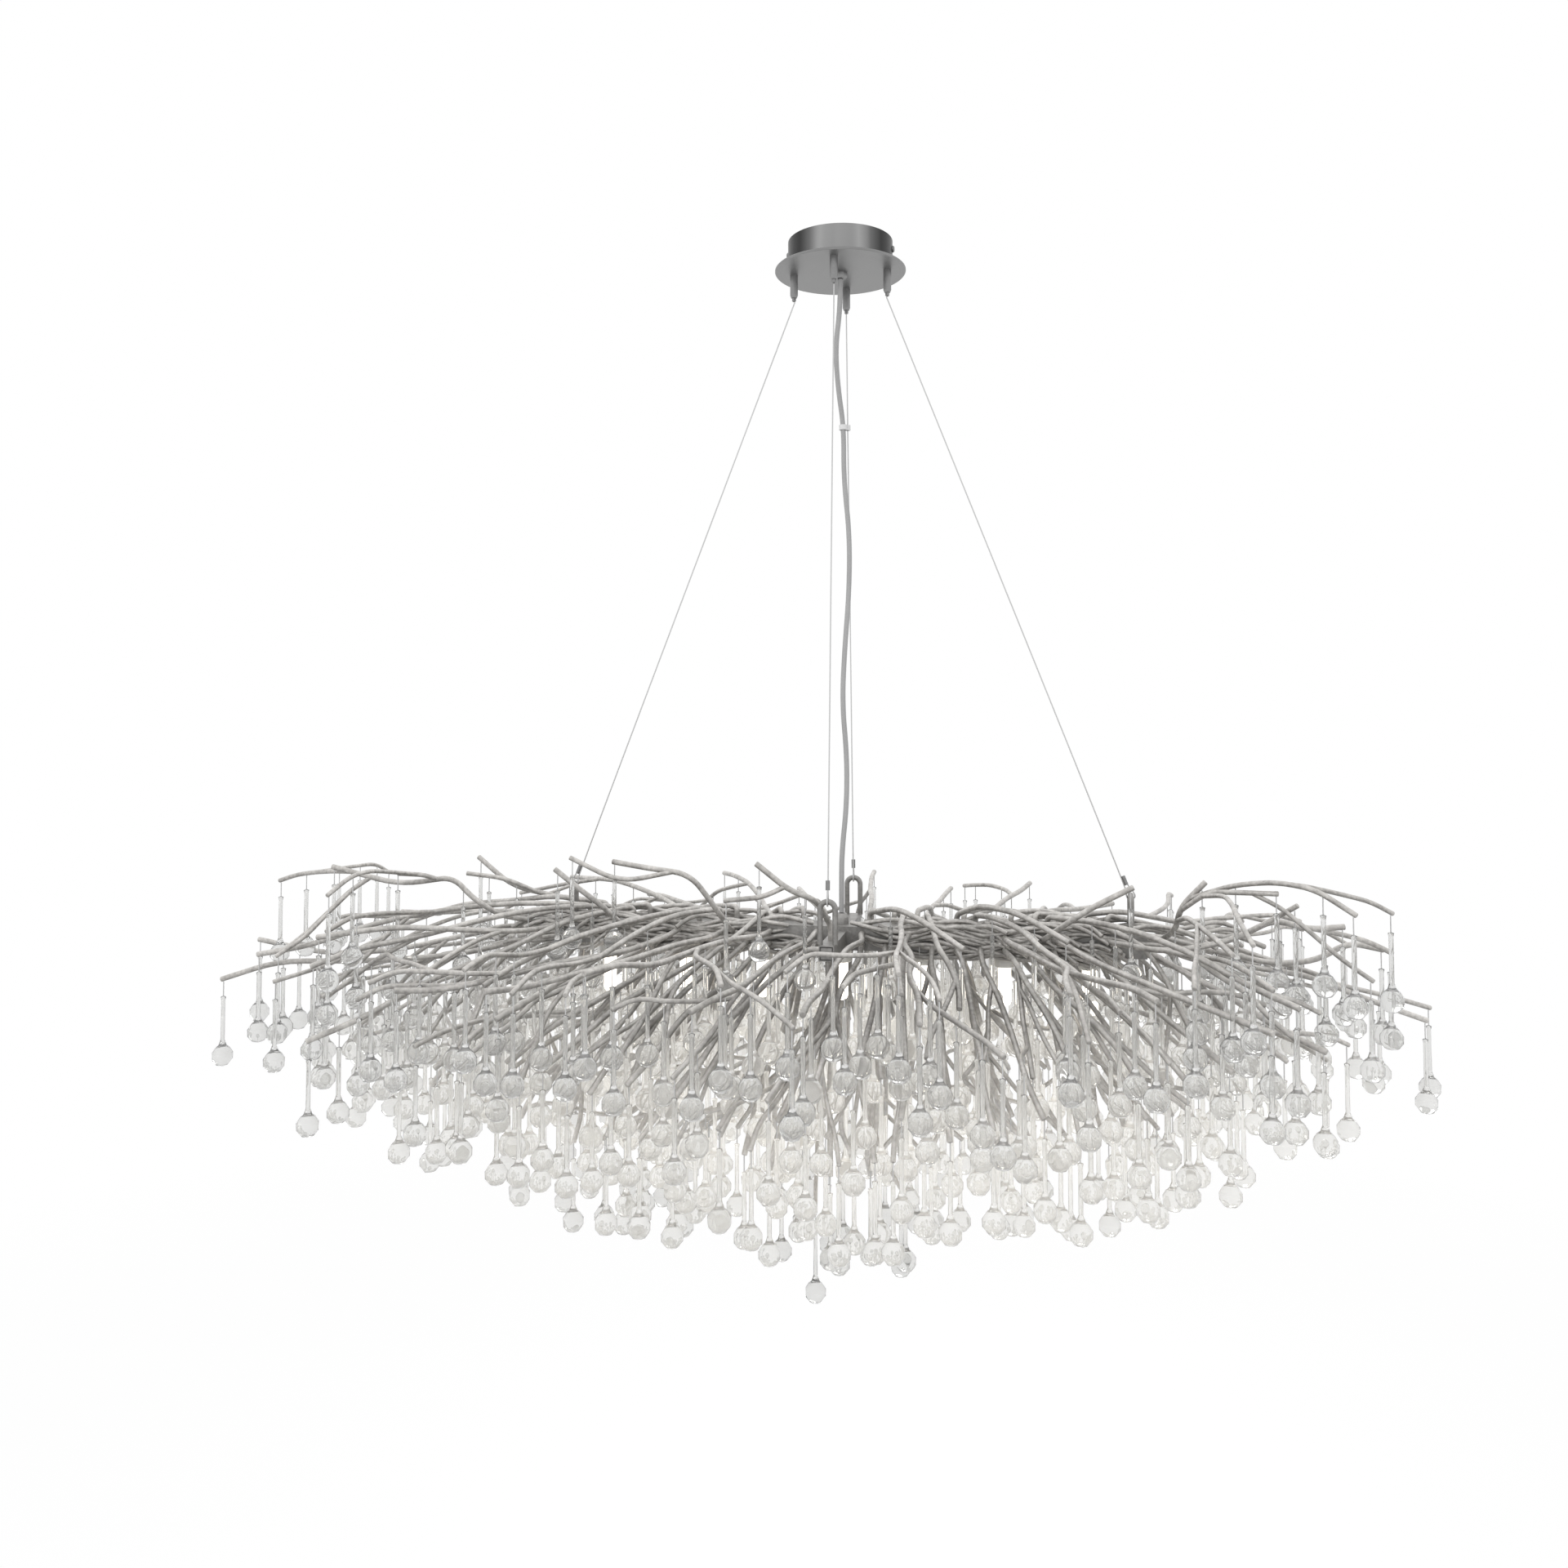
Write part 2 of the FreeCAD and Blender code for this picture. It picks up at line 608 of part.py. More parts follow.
def feature(label, shape):
    """A node whose shape is worked out here."""
    item = doc.addObject("Part::Feature", label)
    item.Label = label
    item.Shape = shape
    item.Placement = Placement(Vector(0, 0, 0), Rotation(0, 0, 0, 1))
    nodes.append(item)


ROD_SHARE = 0.42  # a rod's arcs reach this share of a run from each corner
CORD_SHARE = 0.45
LOOP_SHARE = 0.49


def hanging_loops():
    """Bent rods that stand on the spine and on the crossbars, with their legs across the wire."""
    half, bar = size("loop_wide") / 2, level(BAR_LEVEL)
    for label, reach, foot, along_x in (
        ("hanging_loops_long", size("long_hang"), level(SPINE_TOP), True),
        ("hanging_loops_cross", size("cross_hang"), level(CROSS_TOP), False),
    ):
        loops = []
        for side in (-1, 1):
            route = [(-half, foot), (-half, bar), (half, bar), (half, foot)]
            points = [(side * reach, u, z) if along_x else (u, side * reach, z) for u, z in route]
            loops.append(swept(points, size("loop_rod") / 2, LOOP_SHARE)[0])
        feature(label, Part.Compound(loops))


def suspension_wires():
    """Each wire runs from its gripper to an eye round its hanging loop's bar."""
    pivot = level(GRIPPER_END) - size("plunger_out") - size("wire_gap")
    bar, thick = level(BAR_LEVEL), size("wire_dia") / 2
    ring_out = size("loop_rod") / 2 + size("eye_play") + thick
    for side, role, sign in SIDES:
        way = -1 if sign.endswith("-") else 1
        flat = (way, 0, 0) if role == "XZ_Plane" else (0, way, 0)
        reach = size("long_hang") if role == "XZ_Plane" else size("cross_hang")
        top = add((0, 0, pivot), flat, size("anchor_radius"))
        eye = add((0, 0, bar), flat, reach)
        up = unit(less(top, eye))
        out = unit(add(flat, up, -dot(flat, up)))
        crimp = ring_out + 7
        lay = [(-1.0, crimp + 14), (-1.0, crimp), (-ring_out, 2.5), (-ring_out, -ring_out),
               (ring_out, -ring_out), (ring_out, 2.5), (1.0, crimp), (1.0, crimp + 7)]
        route = [add(add(eye, out, u), up, v) for u, v in lay]
        route[0] = add(top, out, -1.0)
        bar_solid, _ = swept(route, thick, LOOP_SHARE * 0.9)
        feature("suspension_wire_" + side, bar_solid)
        low = add(eye, up, crimp + 0.5)
        sleeve = Part.makeCylinder(
            size("ferrule_dia") / 2, size("ferrule_length"), Vector(*low), Vector(*up))
        feature("wire_ferrule_" + side, sleeve.cut(bar_solid))


# The cord's route: out of the gland, to the clip on the back wire, then down to the inlet.
# Distances below the gland's mouth, with the last point at the inlet.
CORD_ROUTE = [(0, 0, 0), (0, 0, 32), (-8, 14, 75), (-9, 46, 115), (-4.6, 63, 157), (-5, 64, 219),
              (3, 56, 287), (4, 42, 357), (0, 30, 425), (-2, 24, 487), (3, 26, 547), (4, 16, 602),
              (0, 3, 655), (0, 0, 692)]


def power_cord():
    mouth = level(PLATE_UNDER) - size("gland_head_high") - 0.4
    foot = level(SPINE_TOP) + size("inlet_high") + 0.9
    points = [(x, y, mouth - z) for x, y, z in CORD_ROUTE] + [(0, 0.4, foot)]
    cord, radii = swept(points, size("cord_dia") / 2, CORD_SHARE)
    print("cord radii", [round(r) for r in radii], "length", round(cord.Volume / math.pi / 9))
    feature("power_cord", cord)

    # a clip ties the cord to the back wire, which can slide in it
    at = arc_at([Vector(*p) for p in points], 4, CORD_SHARE)[1]
    pivot = level(GRIPPER_END) - size("plunger_out") - size("wire_gap")
    share = (pivot - at.z) / (pivot - level(BAR_LEVEL))
    reach = size("anchor_radius") + share * (size("cross_hang") - size("anchor_radius"))
    wire = Vector(0, reach - 1.0, at.z)
    base, wall = Vector(0, 0, -size("clip_high") / 2), size("clip_wall")
    hold = size("cord_dia") / 2 + size("clip_play")
    eye = size("wire_dia") / 2 + size("clip_eye_play")
    clip = Part.makeCylinder(hold + wall, size("clip_high"), at + base)
    clip = clip.fuse(Part.makeCylinder(eye + wall, size("clip_high"), wire + base))
    clip = clip.cut(Part.makeCylinder(eye, size("clip_high"), wire + base))
    feature("cord_clip", clip.cut(Part.makeCylinder(hold, size("clip_high"), at + base)))


# Branches


class Space:
    """Balls that fill the taken space, kept in cubes so that a near one is found fast."""

    CELL = 30.0

    def __init__(self):
        self.cubes = {}

    def cube(self, p):
        return tuple(int(c // self.CELL) for c in p)

    def put(self, p, radius, owner):
        self.cubes.setdefault(self.cube(p), []).append((p, radius, owner))

    def clear(self, p, radius, gap, parent=None, fork=None):
        """Is a ball clear of all others? A branch may touch its parent close to its fork."""
        i, j, k = self.cube(p)
        for a in (i - 1, i, i + 1):
            for b in (j - 1, j, j + 1):
                for c in (k - 1, k, k + 1):
                    for q, other, owner in self.cubes.get((a, b, c), ()):
                        reach = radius + other + gap
                        if abs(q[0] - p[0]) > reach or abs(q[1] - p[1]) > reach:
                            continue
                        if far(less(p, q)) > reach:
                            continue
                        if fork and owner is parent and far(less(p, fork)) < FORK_REACH:
                            continue
                        return False
        return True


FORK_REACH = 17.0  # within this of its fork a branch may come close to its parent


def along(points, step):
    """Points along a route whose corners are rounded as swept rounds them."""
    route, at = [], points[0]
    for n in range(1, len(points) - 1):
        before, here, after = points[n - 1], points[n], points[n + 1]
        back = ROD_SHARE * min(far(less(here, before)), far(less(after, here)))
        start = add(here, unit(less(before, here)), back)
        end = add(here, unit(less(after, here)), back)
        route.append((at, start, None))
        route.append((start, end, here))
        at = end
    route.append((at, points[-1], None))
    out = []
    for start, end, corner in route:
        count = max(1, round(far(less(end, start)) / step))
        for k in range(count):
            t = k / count
            if corner is None:
                out.append(add(start, less(end, start), t))
            else:
                a, b, c = (1 - t) ** 2, 2 * t * (1 - t), t * t
                out.append(tuple(a * start[i] + b * corner[i] + c * end[i] for i in range(3)))
    out.append(points[-1])
    return out


def bent(start, start_pull, end, end_pull, runs):
    """Points of a smooth curve between two places, with its pull at each end."""
    points = []
    for n in range(runs + 1):
        u = n / runs
        weights = (2 * u**3 - 3 * u**2 + 1, u**3 - 2 * u**2 + u, 3 * u**2 - 2 * u**3, u**3 - u**2)
        ends = (start, start_pull, end, end_pull)
        points.append(tuple(sum(w * e[k] for w, e in zip(weights, ends)) for k in range(3)))
    return points


class Rod:
    """A bent rod of the crown, its route, and where other rods leave it."""

    def __init__(self, group, points, radius, parent=None):
        self.group = group
        self.points = points
        self.radius = radius
        self.parent = parent
        self.forks = []
        self.hung = False

    def hook(self):
        """Where a link hangs: under the rod near its tip, or at the tip of a steep rod."""
        tip, back = self.points[-1], unit(less(self.points[-2], self.points[-1]))
        level_part = math.hypot(back[0], back[1])
        slope = abs(back[2]) / max(level_part, 0.01)
        link, gap = size("link_dia") / 2, size("link_gap")
        if slope < STEEP:
            at = add(tip, back, self.radius * slope + size("tip_round") + link + 0.6)
            return (at[0], at[1], at[2] - self.radius / level_part - link * slope - gap)
        return (tip[0], tip[1], tip[2] - link / slope - gap)


STEEP = 1.1  # a rod that falls more than this for each millimetre outwards carries at its end


def drop_balls(top, lean=0.0):
    """Balls that stand for a link and its drop, hanging from top or leaning along X."""
    link, long, ball = size("link_length"), size("drop_length"), size("drop_dia") / 2
    neck, knob = size("neck_dia") / 2, size("knob_dia") / 2
    shape = [(1.5, 0.8), (6, 0.8), (13, 0.8), (link + 3, knob)]
    shape += [(link + d, neck) for d in (9, 15, 21, 27, 33)]
    flare = size("flare_radius")
    rise = math.sqrt((ball + flare) ** 2 - (neck + flare) ** 2)
    middle = link + long - ball
    for part in (0.75, 0.55, 0.35):
        up = part * rise
        wide = neck + flare - math.sqrt(flare**2 - (rise - up) ** 2)
        shape.append((middle - up, wide))
    shape.append((middle, ball))
    return [((top[0] + lean * d, top[1], top[2] - d), r) for d, r in shape]


class Crown:
    """The rods and their drops, grown one after another into free space."""

    def __init__(self):
        self.space = Space()
        self.rods = []
        self.dice = random.Random(7)
        self.half_length = size("crown_length") / 2
        self.half_width = size("crown_width") / 2
        self.middle = -size("crown_shift")
        self.spine = level(SPINE_MIDDLE)

    def ring_of(self, x, y):
        """0 at the crown's middle and 1 at its rim."""
        return math.hypot((x - self.middle) / self.half_length, y / self.half_width)

    def lowest_tip(self, x, y):
        """The bowl under the crown: highest at the rim, with a lower group in the middle."""
        bowl = self.spine - size("bowl_low") + size("bowl_rise") * self.ring_of(x, y) ** 2.7
        heart = math.hypot(x - 15, 1.6 * y) / size("heart_wide")
        return bowl - size("heart_low") * math.exp(-(heart**2))

    def fits(self, points, radius, parent=None, fork=None):
        gap = size("rod_gap")
        places = along(points, 6.0)[0 if parent else 2:]
        return all(self.space.clear(p, radius, gap, parent, fork) for p in places)

    def drop_fits(self, top):
        gap = size("drop_gap")
        return all(self.space.clear(p, r, gap) for p, r in drop_balls(top))

    def place(self, rod, hung=True, swings=False):
        for p in along(rod.points, 6.0):
            self.space.put(p, rod.radius, rod)
        self.rods.append(rod)
        rod.hung = hung
        if hung:
            lean = math.tan(math.radians(size("swing_angle")))
            for share in (-1, -0.5, 0, 0.5, 1) if swings else (0,):
                for p, r in drop_balls(rod.hook(), share * lean):
                    self.space.put(p, r, "drop")

    def keep_free(self, p, radius):
        self.space.put(p, radius, "frame")


# Rods placed by hand, as the photograph shows them. A root is a face of the spine, a place along
# it as a share of the half spine, and a row above or below its middle. Each following point is a
# share of the crown's half length and half width, and a height above the spine's middle.
UPPER_ROW, LOWER_ROW = 1, -1
ROW_RISE, END_OFFSET, ROOT_RUN = 6.5, 11.0, 15.0

PLACED = [
    ("left_long", "left", -1, UPPER_ROW, [
        (-0.598, -0.127, 18), (-0.636, -0.182, 38), (-0.676, -0.182, 63), (-0.777, -0.182, 53),
        (-0.907, -0.182, 72)]),
    ("left_pair", "back", -0.79, UPPER_ROW, [
        (-0.465, 0.152, 22), (-0.54, 0.158, 28), (-0.638, 0.167, 39), (-0.71, 0.182, 74)]),
    ("left_inner", "front", -0.36, UPPER_ROW, [
        (-0.204, -0.170, 35), (-0.247, -0.182, 72), (-0.317, -0.182, 77), (-0.385, -0.182, 84)]),
    ("left_short", "front", -0.73, UPPER_ROW, [
        (-0.404, -0.164, 33), (-0.44, -0.182, 51), (-0.487, -0.194, 75)]),
    ("left_shelf", "front", -0.97, UPPER_ROW, [
        (-0.545, -0.270, 8), (-0.608, -0.370, 14), (-0.73, -0.400, 17), (-0.864, -0.424, 4)]),
    ("left_end_high", "left", 1, UPPER_ROW, [
        (-0.679, 0.067, -12), (-0.839, 0.030, -35), (-0.971, 0.015, -41), (-1.108, 0, -25)]),
    ("left_end_low", "left", -1, LOWER_ROW, [
        (-0.663, -0.152, -26), (-0.818, -0.230, -32), (-0.987, -0.255, -34),
        (-1.091, -0.273, -56)]),
    ("centre_arch", "bar", -0.72, UPPER_ROW, [
        (-0.018, -0.309, 52), (-0.062, -0.339, 63), (-0.116, -0.352, 91)]),
    ("right_hump_near", "top", 0.10, -1, [
        (0.102, -0.152, 39), (0.148, -0.236, 30), (0.216, -0.315, 6)]),
    ("right_hump_far", "top", 0.39, -1, [
        (0.238, -0.121, 43), (0.302, -0.200, 39), (0.379, -0.279, 14)]),
    ("right_small", "front", 0.67, UPPER_ROW, [
        (0.378, -0.170, 28), (0.421, -0.182, 47), (0.483, -0.188, 68)]),
    ("right_fork", "right", -1, UPPER_ROW, [
        (0.55, -0.127, 22), (0.555, -0.176, 48), (0.594, -0.182, 75)]),
    ("right_out", "front", 0.88, UPPER_ROW, [
        (0.529, -0.240, 5), (0.625, -0.210, 16), (0.696, -0.190, 39), (0.745, -0.182, 29),
        (0.8, -0.188, 33)]),
    ("right_end_high", "right", 1, UPPER_ROW, [
        (0.625, 0.030, -7), (0.714, 0.015, -18), (0.778, 0, -12), (0.827, 0, 8), (0.881, 0, 1)]),
    ("right_end_low", "right", 1, LOWER_ROW, [
        (0.663, 0.097, -25), (0.784, 0.121, -36), (0.842, 0.121, -52), (0.903, 0.121, -66),
        (0.965, 0.136, -80)]),
]

# Spurs of the placed rods: the rod they leave, the distance from its root, and their points.
PLACED_SPURS = [
    ("left_long", 0.53, [(-0.725, -0.212, 66), (-0.766, -0.242, 68)]),
    ("left_pair", 0.60, [(-0.645, 0.120, 51), (-0.712, 0.085, 57)]),
    ("left_inner", 0.64, [(-0.363, -0.230, 63), (-0.45, -0.248, 90)]),
    ("centre_arch", 0.68, [(-0.102, -0.376, 57), (-0.162, -0.412, 54)]),
    ("right_fork", 0.66, [(0.593, -0.235, 67), (0.692, -0.3, 69)]),
    ("right_out", 0.62, [(0.691, -0.242, 42), (0.723, -0.270, 57)]),
    ("right_end_low", 0.52, [(0.849, 0.180, -50), (0.926, 0.220, -62), (0.987, 0.250, -74)]),
]

# The placed rods whose drops are separate swinging bodies.
SWINGING = ["left_end_low", "left_long", "right_end_low", "right_out", "left_shelf"]


def root_of(face, station, row):
    """The middle of a rod's root on a face of the spine or crossbar, and that face's outward way."""
    half, wide = size("spine_length") / 2, size("spine_width") / 2
    middle = level(SPINE_MIDDLE)
    rise = middle + row * ROW_RISE
    return {
        "left": ((-half, station * END_OFFSET, rise), (-1, 0, 0)),
        "right": ((half, station * END_OFFSET, rise), (1, 0, 0)),
        "front": ((station * half, -wide, rise), (0, -1, 0)),
        "back": ((station * half, wide, rise), (0, 1, 0)),
        "top": ((station * half, row * END_OFFSET, level(SPINE_TOP)), (0, 0, 1)),
        "under": ((station * half, row * END_OFFSET, level(SPINE_UNDER)), (0, 0, -1)),
        "bar": ((0, station * size("cross_reach"), level(CROSS_TOP)), (0, 0, 1)),
        "bar_under": ((0, station * size("cross_reach"), middle - size("cross_size") / 2),
                      (0, 0, -1)),
        "bar_side": ((row * size("cross_size") / 2, station * size("cross_reach"), middle),
                     (row, 0, 0)),
    }[face]


def fill_frame(crown):
    """Marks the space that the spine, loops, wires, lamps and cord take."""
    half, bar, spine = size("spine_length") / 2, level(BAR_LEVEL), crown.spine
    count = int(half / 4)
    for n in range(count):
        for way in (-1, 1):
            crown.keep_free((way * (n + 0.5) * half / count, 0, spine), size("spine_height") / 2 + 1)
            crown.keep_free((way * (n + 0.5) * half / count, way * 8, spine), 12)
            crown.keep_free((way * (n + 0.5) * half / count, -way * 8, spine), 12)
    for n in range(int(size("cross_reach") / 6) + 1):
        for way in (-1, 1):
            crown.keep_free((0, way * 6 * n, spine), size("cross_size") / 2 + 1)
    leg = size("loop_wide") / 2
    for way in (-1, 1):
        for side in (-1, 1):
            for n in range(10):
                z = bar - n * (bar - spine) / 9
                crown.keep_free((way * size("long_hang"), side * leg, z), size("loop_rod") / 2 + 1)
                crown.keep_free((side * leg, way * size("cross_hang"), z), size("loop_rod") / 2 + 1)
    top = level(GRIPPER_END)
    for n in range(31):
        share = n / 90
        z = bar + share * (top - bar)
        for way in (-1, 1):
            x = size("long_hang") + share * (size("anchor_radius") - size("long_hang"))
            y = size("cross_hang") + share * (size("anchor_radius") - size("cross_hang"))
            crown.keep_free((way * x, 0, z), 6)
            crown.keep_free((0, way * y, z), 6)
        crown.keep_free((0, 0, z - 40), 10)
    pitch, lamp = size("lamp_pitch"), size("holder_dia") / 2 + 1
    deep = size("holder_high") + size("bulb_length")
    count = int(size("lamp_count"))
    for n in range(count):
        for k in range(9):
            z = level(SPINE_UNDER) - deep * k / 8
            crown.keep_free(((n - (count - 1) / 2) * pitch, 0, z), lamp)


def placed_rods(crown):
    """The rods placed by hand, and their spurs."""
    by_name = {}
    for name, face, station, row, shares in PLACED:
        root, way = root_of(face, station, row)
        points = [root, add(root, way, ROOT_RUN)]
        points += [(u * crown.half_length, v * crown.half_width, crown.spine + rise)
                   for u, v, rise in shares]
        rod = Rod("crown_rods", points, size("arm_dia") / 2)
        rod.name = name
        crown.place(rod, swings=name in SWINGING)
        by_name[name] = rod
    for host, share, shares in PLACED_SPURS:
        parent = by_name[host]
        places = along(parent.points, 4.0)
        fork = places[round(share * (len(places) - 1))]
        points = [fork] + [(u * crown.half_length, v * crown.half_width, crown.spine + rise)
                           for u, v, rise in shares]
        rod = Rod("crown_rods", points, size("twig_dia") / 2, parent)
        parent.forks.append(fork)
        crown.place(rod, hung=crown.drop_fits(rod.hook()))


def send_arm(crown, group, root, way, tip, last, runs):
    """Grows an arm from a root to about a tip, trying nearby tips until one is free."""
    dice = crown.dice
    for attempt in range(8):
        spread = 14 if attempt else 0
        goal = tuple(c + dice.uniform(-spread, spread) for c in tip)
        pull = 0.7 * far(less(goal, root))
        rise = pull if way[2] <= 0 else 0.75 * pull
        route = bent(root, tuple(rise * c for c in way), goal, tuple(pull * c for c in last), runs)
        inner = [tuple(c + dice.uniform(-5, 5) for c in p) for p in route[1:-1]
                 if far(less(p, root)) > 2 * ROOT_RUN]
        points = [root, add(root, way, ROOT_RUN)] + inner + [goal]
        rod = Rod(group, points, size("arm_dia") / 2)
        if crown.fits(points, rod.radius) and crown.drop_fits(rod.hook()):
            crown.place(rod)
            return


ROOTS = 23  # arms in a row along a side of the spine


def side_arms(crown):
    """Arms that fan out from the spine's long sides, an upper and a lower row on each."""
    dice, half = crown.dice, size("spine_length") / 2
    for side, face in ((-1, "front"), (1, "back")):
        for n in range(ROOTS):
            share = 1.8 * (n + 0.5) / ROOTS - 0.9
            if abs(share) < 0.05:
                continue
            if n % 2 == 0 and (side > 0 or abs(share) < 0.72):
                root, way = root_of(face, share, UPPER_ROW)
                x = 1.02 * share * crown.half_length + crown.middle
                rim = math.sqrt(max(0.04, 1 - 0.92 * share**2))
                y = side * 0.91 * crown.half_width * rim
                rise = dice.uniform(0, 50) if side > 0 else dice.uniform(-25, 15)
                tip = (x, y, crown.spine + rise - 70 * share**2)
                last = unit((x - root[0], 0.8 * (y - root[1]), dice.uniform(-60, 30)))
                send_arm(crown, "upper_arms", root, way, tip, last, 6)
            root, way = root_of(face, share, LOWER_ROW)
            x = 0.87 * share * crown.half_length + crown.middle
            y = side * crown.half_width * dice.uniform(0.6, 0.76) * math.sqrt(1 - 0.8 * share**2)
            low = crown.lowest_tip(x, y) + dice.uniform(15, 60)
            fall = low - crown.spine
            last = unit((0.5 * (x - root[0]), 0.5 * (y - root[1]), fall))
            send_arm(crown, "lower_arms", root, way, (x, y, low), last, 5)


def arching_arms(crown):
    """Arms that rise from the spine's cover and fall over its long sides."""
    dice, half = crown.dice, size("spine_length") / 2
    clear_ends = (size("long_hang") - size("loop_rod") * 3) / half
    for n in range(ROOTS):
        for side in (-1, 1):
            share = 1.8 * (n + 0.5) / ROOTS - 0.9 + side * 0.02
            if not 22 / half < abs(share) < clear_ends:
                continue
            root, way = root_of("top", share, side)
            x = 1.02 * share * crown.half_length + crown.middle + dice.uniform(-30, 30)
            y = side * crown.half_width * dice.uniform(0.4, 0.85) * math.sqrt(1 - 0.8 * share**2)
            tip = (x, y, crown.spine - dice.uniform(10, 95))
            last = unit((x - root[0], y - root[1], dice.uniform(-140, -40)))
            send_arm(crown, "arching_arms", root, way, tip, last, 6)


def under_arms(crown):
    """Steep arms from the spine's underside and from the crossbars."""
    dice = crown.dice
    for share in (-0.91, -0.68, -0.41, -0.136, 0.136, 0.41, 0.68, 0.91):
        for side in (-1, 1):
            root, way = root_of("under", share, side)
            x = 1.45 * root[0] + 0.5 * crown.middle
            y = side * crown.half_width * dice.uniform(0.12, 0.33)
            low = crown.lowest_tip(x, y) + dice.uniform(0, 30)
            last = unit((0.35 * (x - root[0]), 0.35 * y, -150))
            send_arm(crown, "under_arms", root, way, (x, y, low), last, 5)
    for side in (-1, 1):
        for share in (0.38, 0.64, 0.9):
            root, way = root_of("bar_under", side * share, 0)
            x, y = dice.uniform(-60, 60), 1.5 * root[1] + side * 20
            low = crown.lowest_tip(x, y) + dice.uniform(0, 40)
            last = unit((0.35 * x, 0.35 * (y - root[1]), -150))
            send_arm(crown, "under_arms", root, way, (x, y, low), last, 5)
        for across in (-1, 1):
            for share, reach in ((0.5, 90), (0.8, 126)):
                root, way = root_of("bar_side", side * share, across)
                x, y = across * reach, root[1] + side * reach
                tip = (x, y, crown.spine - dice.uniform(30, 100))
                send_arm(crown, "upper_arms", root, way, tip, unit((x, y, -80)), 5)


def plan_sites(crown):
    """Places for the tips in plan, on a loose honeycomb inside the crown's oval."""
    dice, pitch = crown.dice, size("drop_pitch")
    sites, row, y = [], 0, -crown.half_width
    while y <= crown.half_width:
        x = crown.middle - crown.half_length + (pitch / 2 if row % 2 else 0)
        while x <= crown.middle + crown.half_length:
            site = (x + dice.uniform(-9, 9), y + dice.uniform(-9, 9))
            if crown.ring_of(*site) <= 1.0:
                sites.append(site)
            x += pitch
        y += pitch * math.sqrt(0.75)
        row += 1
    dice.shuffle(sites)
    return sites


def forks_for(crown, tip, reach):
    """Places on the rods from which a twig could reach a tip, the likeliest first."""
    options, ring = [], crown.ring_of(tip[0], tip[1])
    for rod in crown.rods:
        if rod.radius <= size("spur_dia") / 2:
            continue
        places = along(rod.points, 9.0)
        for n in range(2, len(places) - 2):
            at = places[n]
            way = less(tip, at)
            run = far(way)
            if not 45 < run < reach or way[2] > 0:
                continue
            if ring > 0.3 and crown.ring_of(at[0], at[1]) > ring + 0.03:
                continue
            if any(far(less(at, fork)) < 13 for fork in rod.forks):
                continue
            if far(less(at, places[0])) < 22 or far(less(at, places[-1])) < 16:
                continue
            heading = unit(less(places[n + 1], places[n - 1]))
            angle = math.degrees(math.acos(max(-1.0, min(1.0, dot(heading, unit(way))))))
            if 14 < angle < 85:
                strain = 0.9 * abs(run - 125) + 1.1 * abs(angle - 30) + 7 * len(rod.forks)
                options.append((strain, len(options), at, heading, rod))
    options.sort(key=lambda option: option[:2])
    return options[:26]


def grow_twig(crown, tip, reach):
    """Grows a twig to a tip, if a rod can send one that is clear of all else."""
    dice, ring = crown.dice, crown.ring_of(tip[0], tip[1])
    for _, _, fork, heading, parent in forks_for(crown, tip, reach):
        way = less(tip, fork)
        run = far(way)
        arm = parent.radius > size("twig_dia") / 2
        radius = size("twig_dia") / 2 if arm else size("spur_dia") / 2
        outward = unit((tip[0] - crown.middle, 2.2 * tip[1], 0)) if ring > 0.15 else (0, 0, 0)
        for attempt in range(2):
            steer = unit(add(unit((way[0], way[1], 0)), outward, 0.8))
            fall = math.radians(dice.uniform(15, 45) + 28 * max(0.0, 1 - ring))
            last = (steer[0] * math.cos(fall), steer[1] * math.cos(fall), -math.sin(fall))
            first = unit(add(tuple(0.75 * c for c in heading), unit(way), 0.8))
            pull = run * dice.uniform(0.75, 1.15)
            route = bent(fork, tuple(pull * c for c in first),
                         tip, tuple(0.9 * pull * c for c in last), 3 if run < 110 else 4)
            inner = [tuple(c + dice.uniform(-3, 3) for c in p) for p in route[1:-1]]
            points = [fork] + inner + [tip]
            side = "front" if tip[1] < 0 else "back"
            hand = "left" if tip[0] < crown.middle else "right"
            rod = Rod(f"twigs_{side}_{hand}", points, radius, parent)
            if crown.fits(points, radius, parent, fork) and crown.drop_fits(rod.hook()):
                parent.forks.append(fork)
                crown.place(rod)
                return True
    return False


def grow_twigs(crown):
    """Sends a twig to each site of the plan, in three rounds with a growing reach."""
    sites = plan_sites(crown)
    for reach in (200, 230, 260):
        left = []
        for x, y in sites:
            grown = False
            for attempt in range(2):
                z = crown.lowest_tip(x, y) + size("tip_scatter") * crown.dice.random() ** 1.5
                grown = grown or grow_twig(crown, (x, y, z), reach)
            if not grown:
                left.append((x, y))
        sites = left


def rounded_bar(points, radius):
    """A rod along its route, rounded at its tip."""
    bar, tip = swept(points, radius, ROD_SHARE)[0], Vector(*points[-1])
    rims = [edge for edge in bar.Edges if len(edge.Vertexes) == 1]
    rim = min(rims, key=lambda edge: (edge.CenterOfMass - tip).Length)
    return bar.makeFillet(min(size("tip_round"), 0.45 * radius), [rim])


STARTS = (0.8, 1.1, 0.5, 1.4)
# one twig's cut runs along the seam of the twig that it leaves unless it starts further out
SEAM_TWIG, SEAM_STARTS = ("twigs_back_right", 66), (2.0, 1.7)


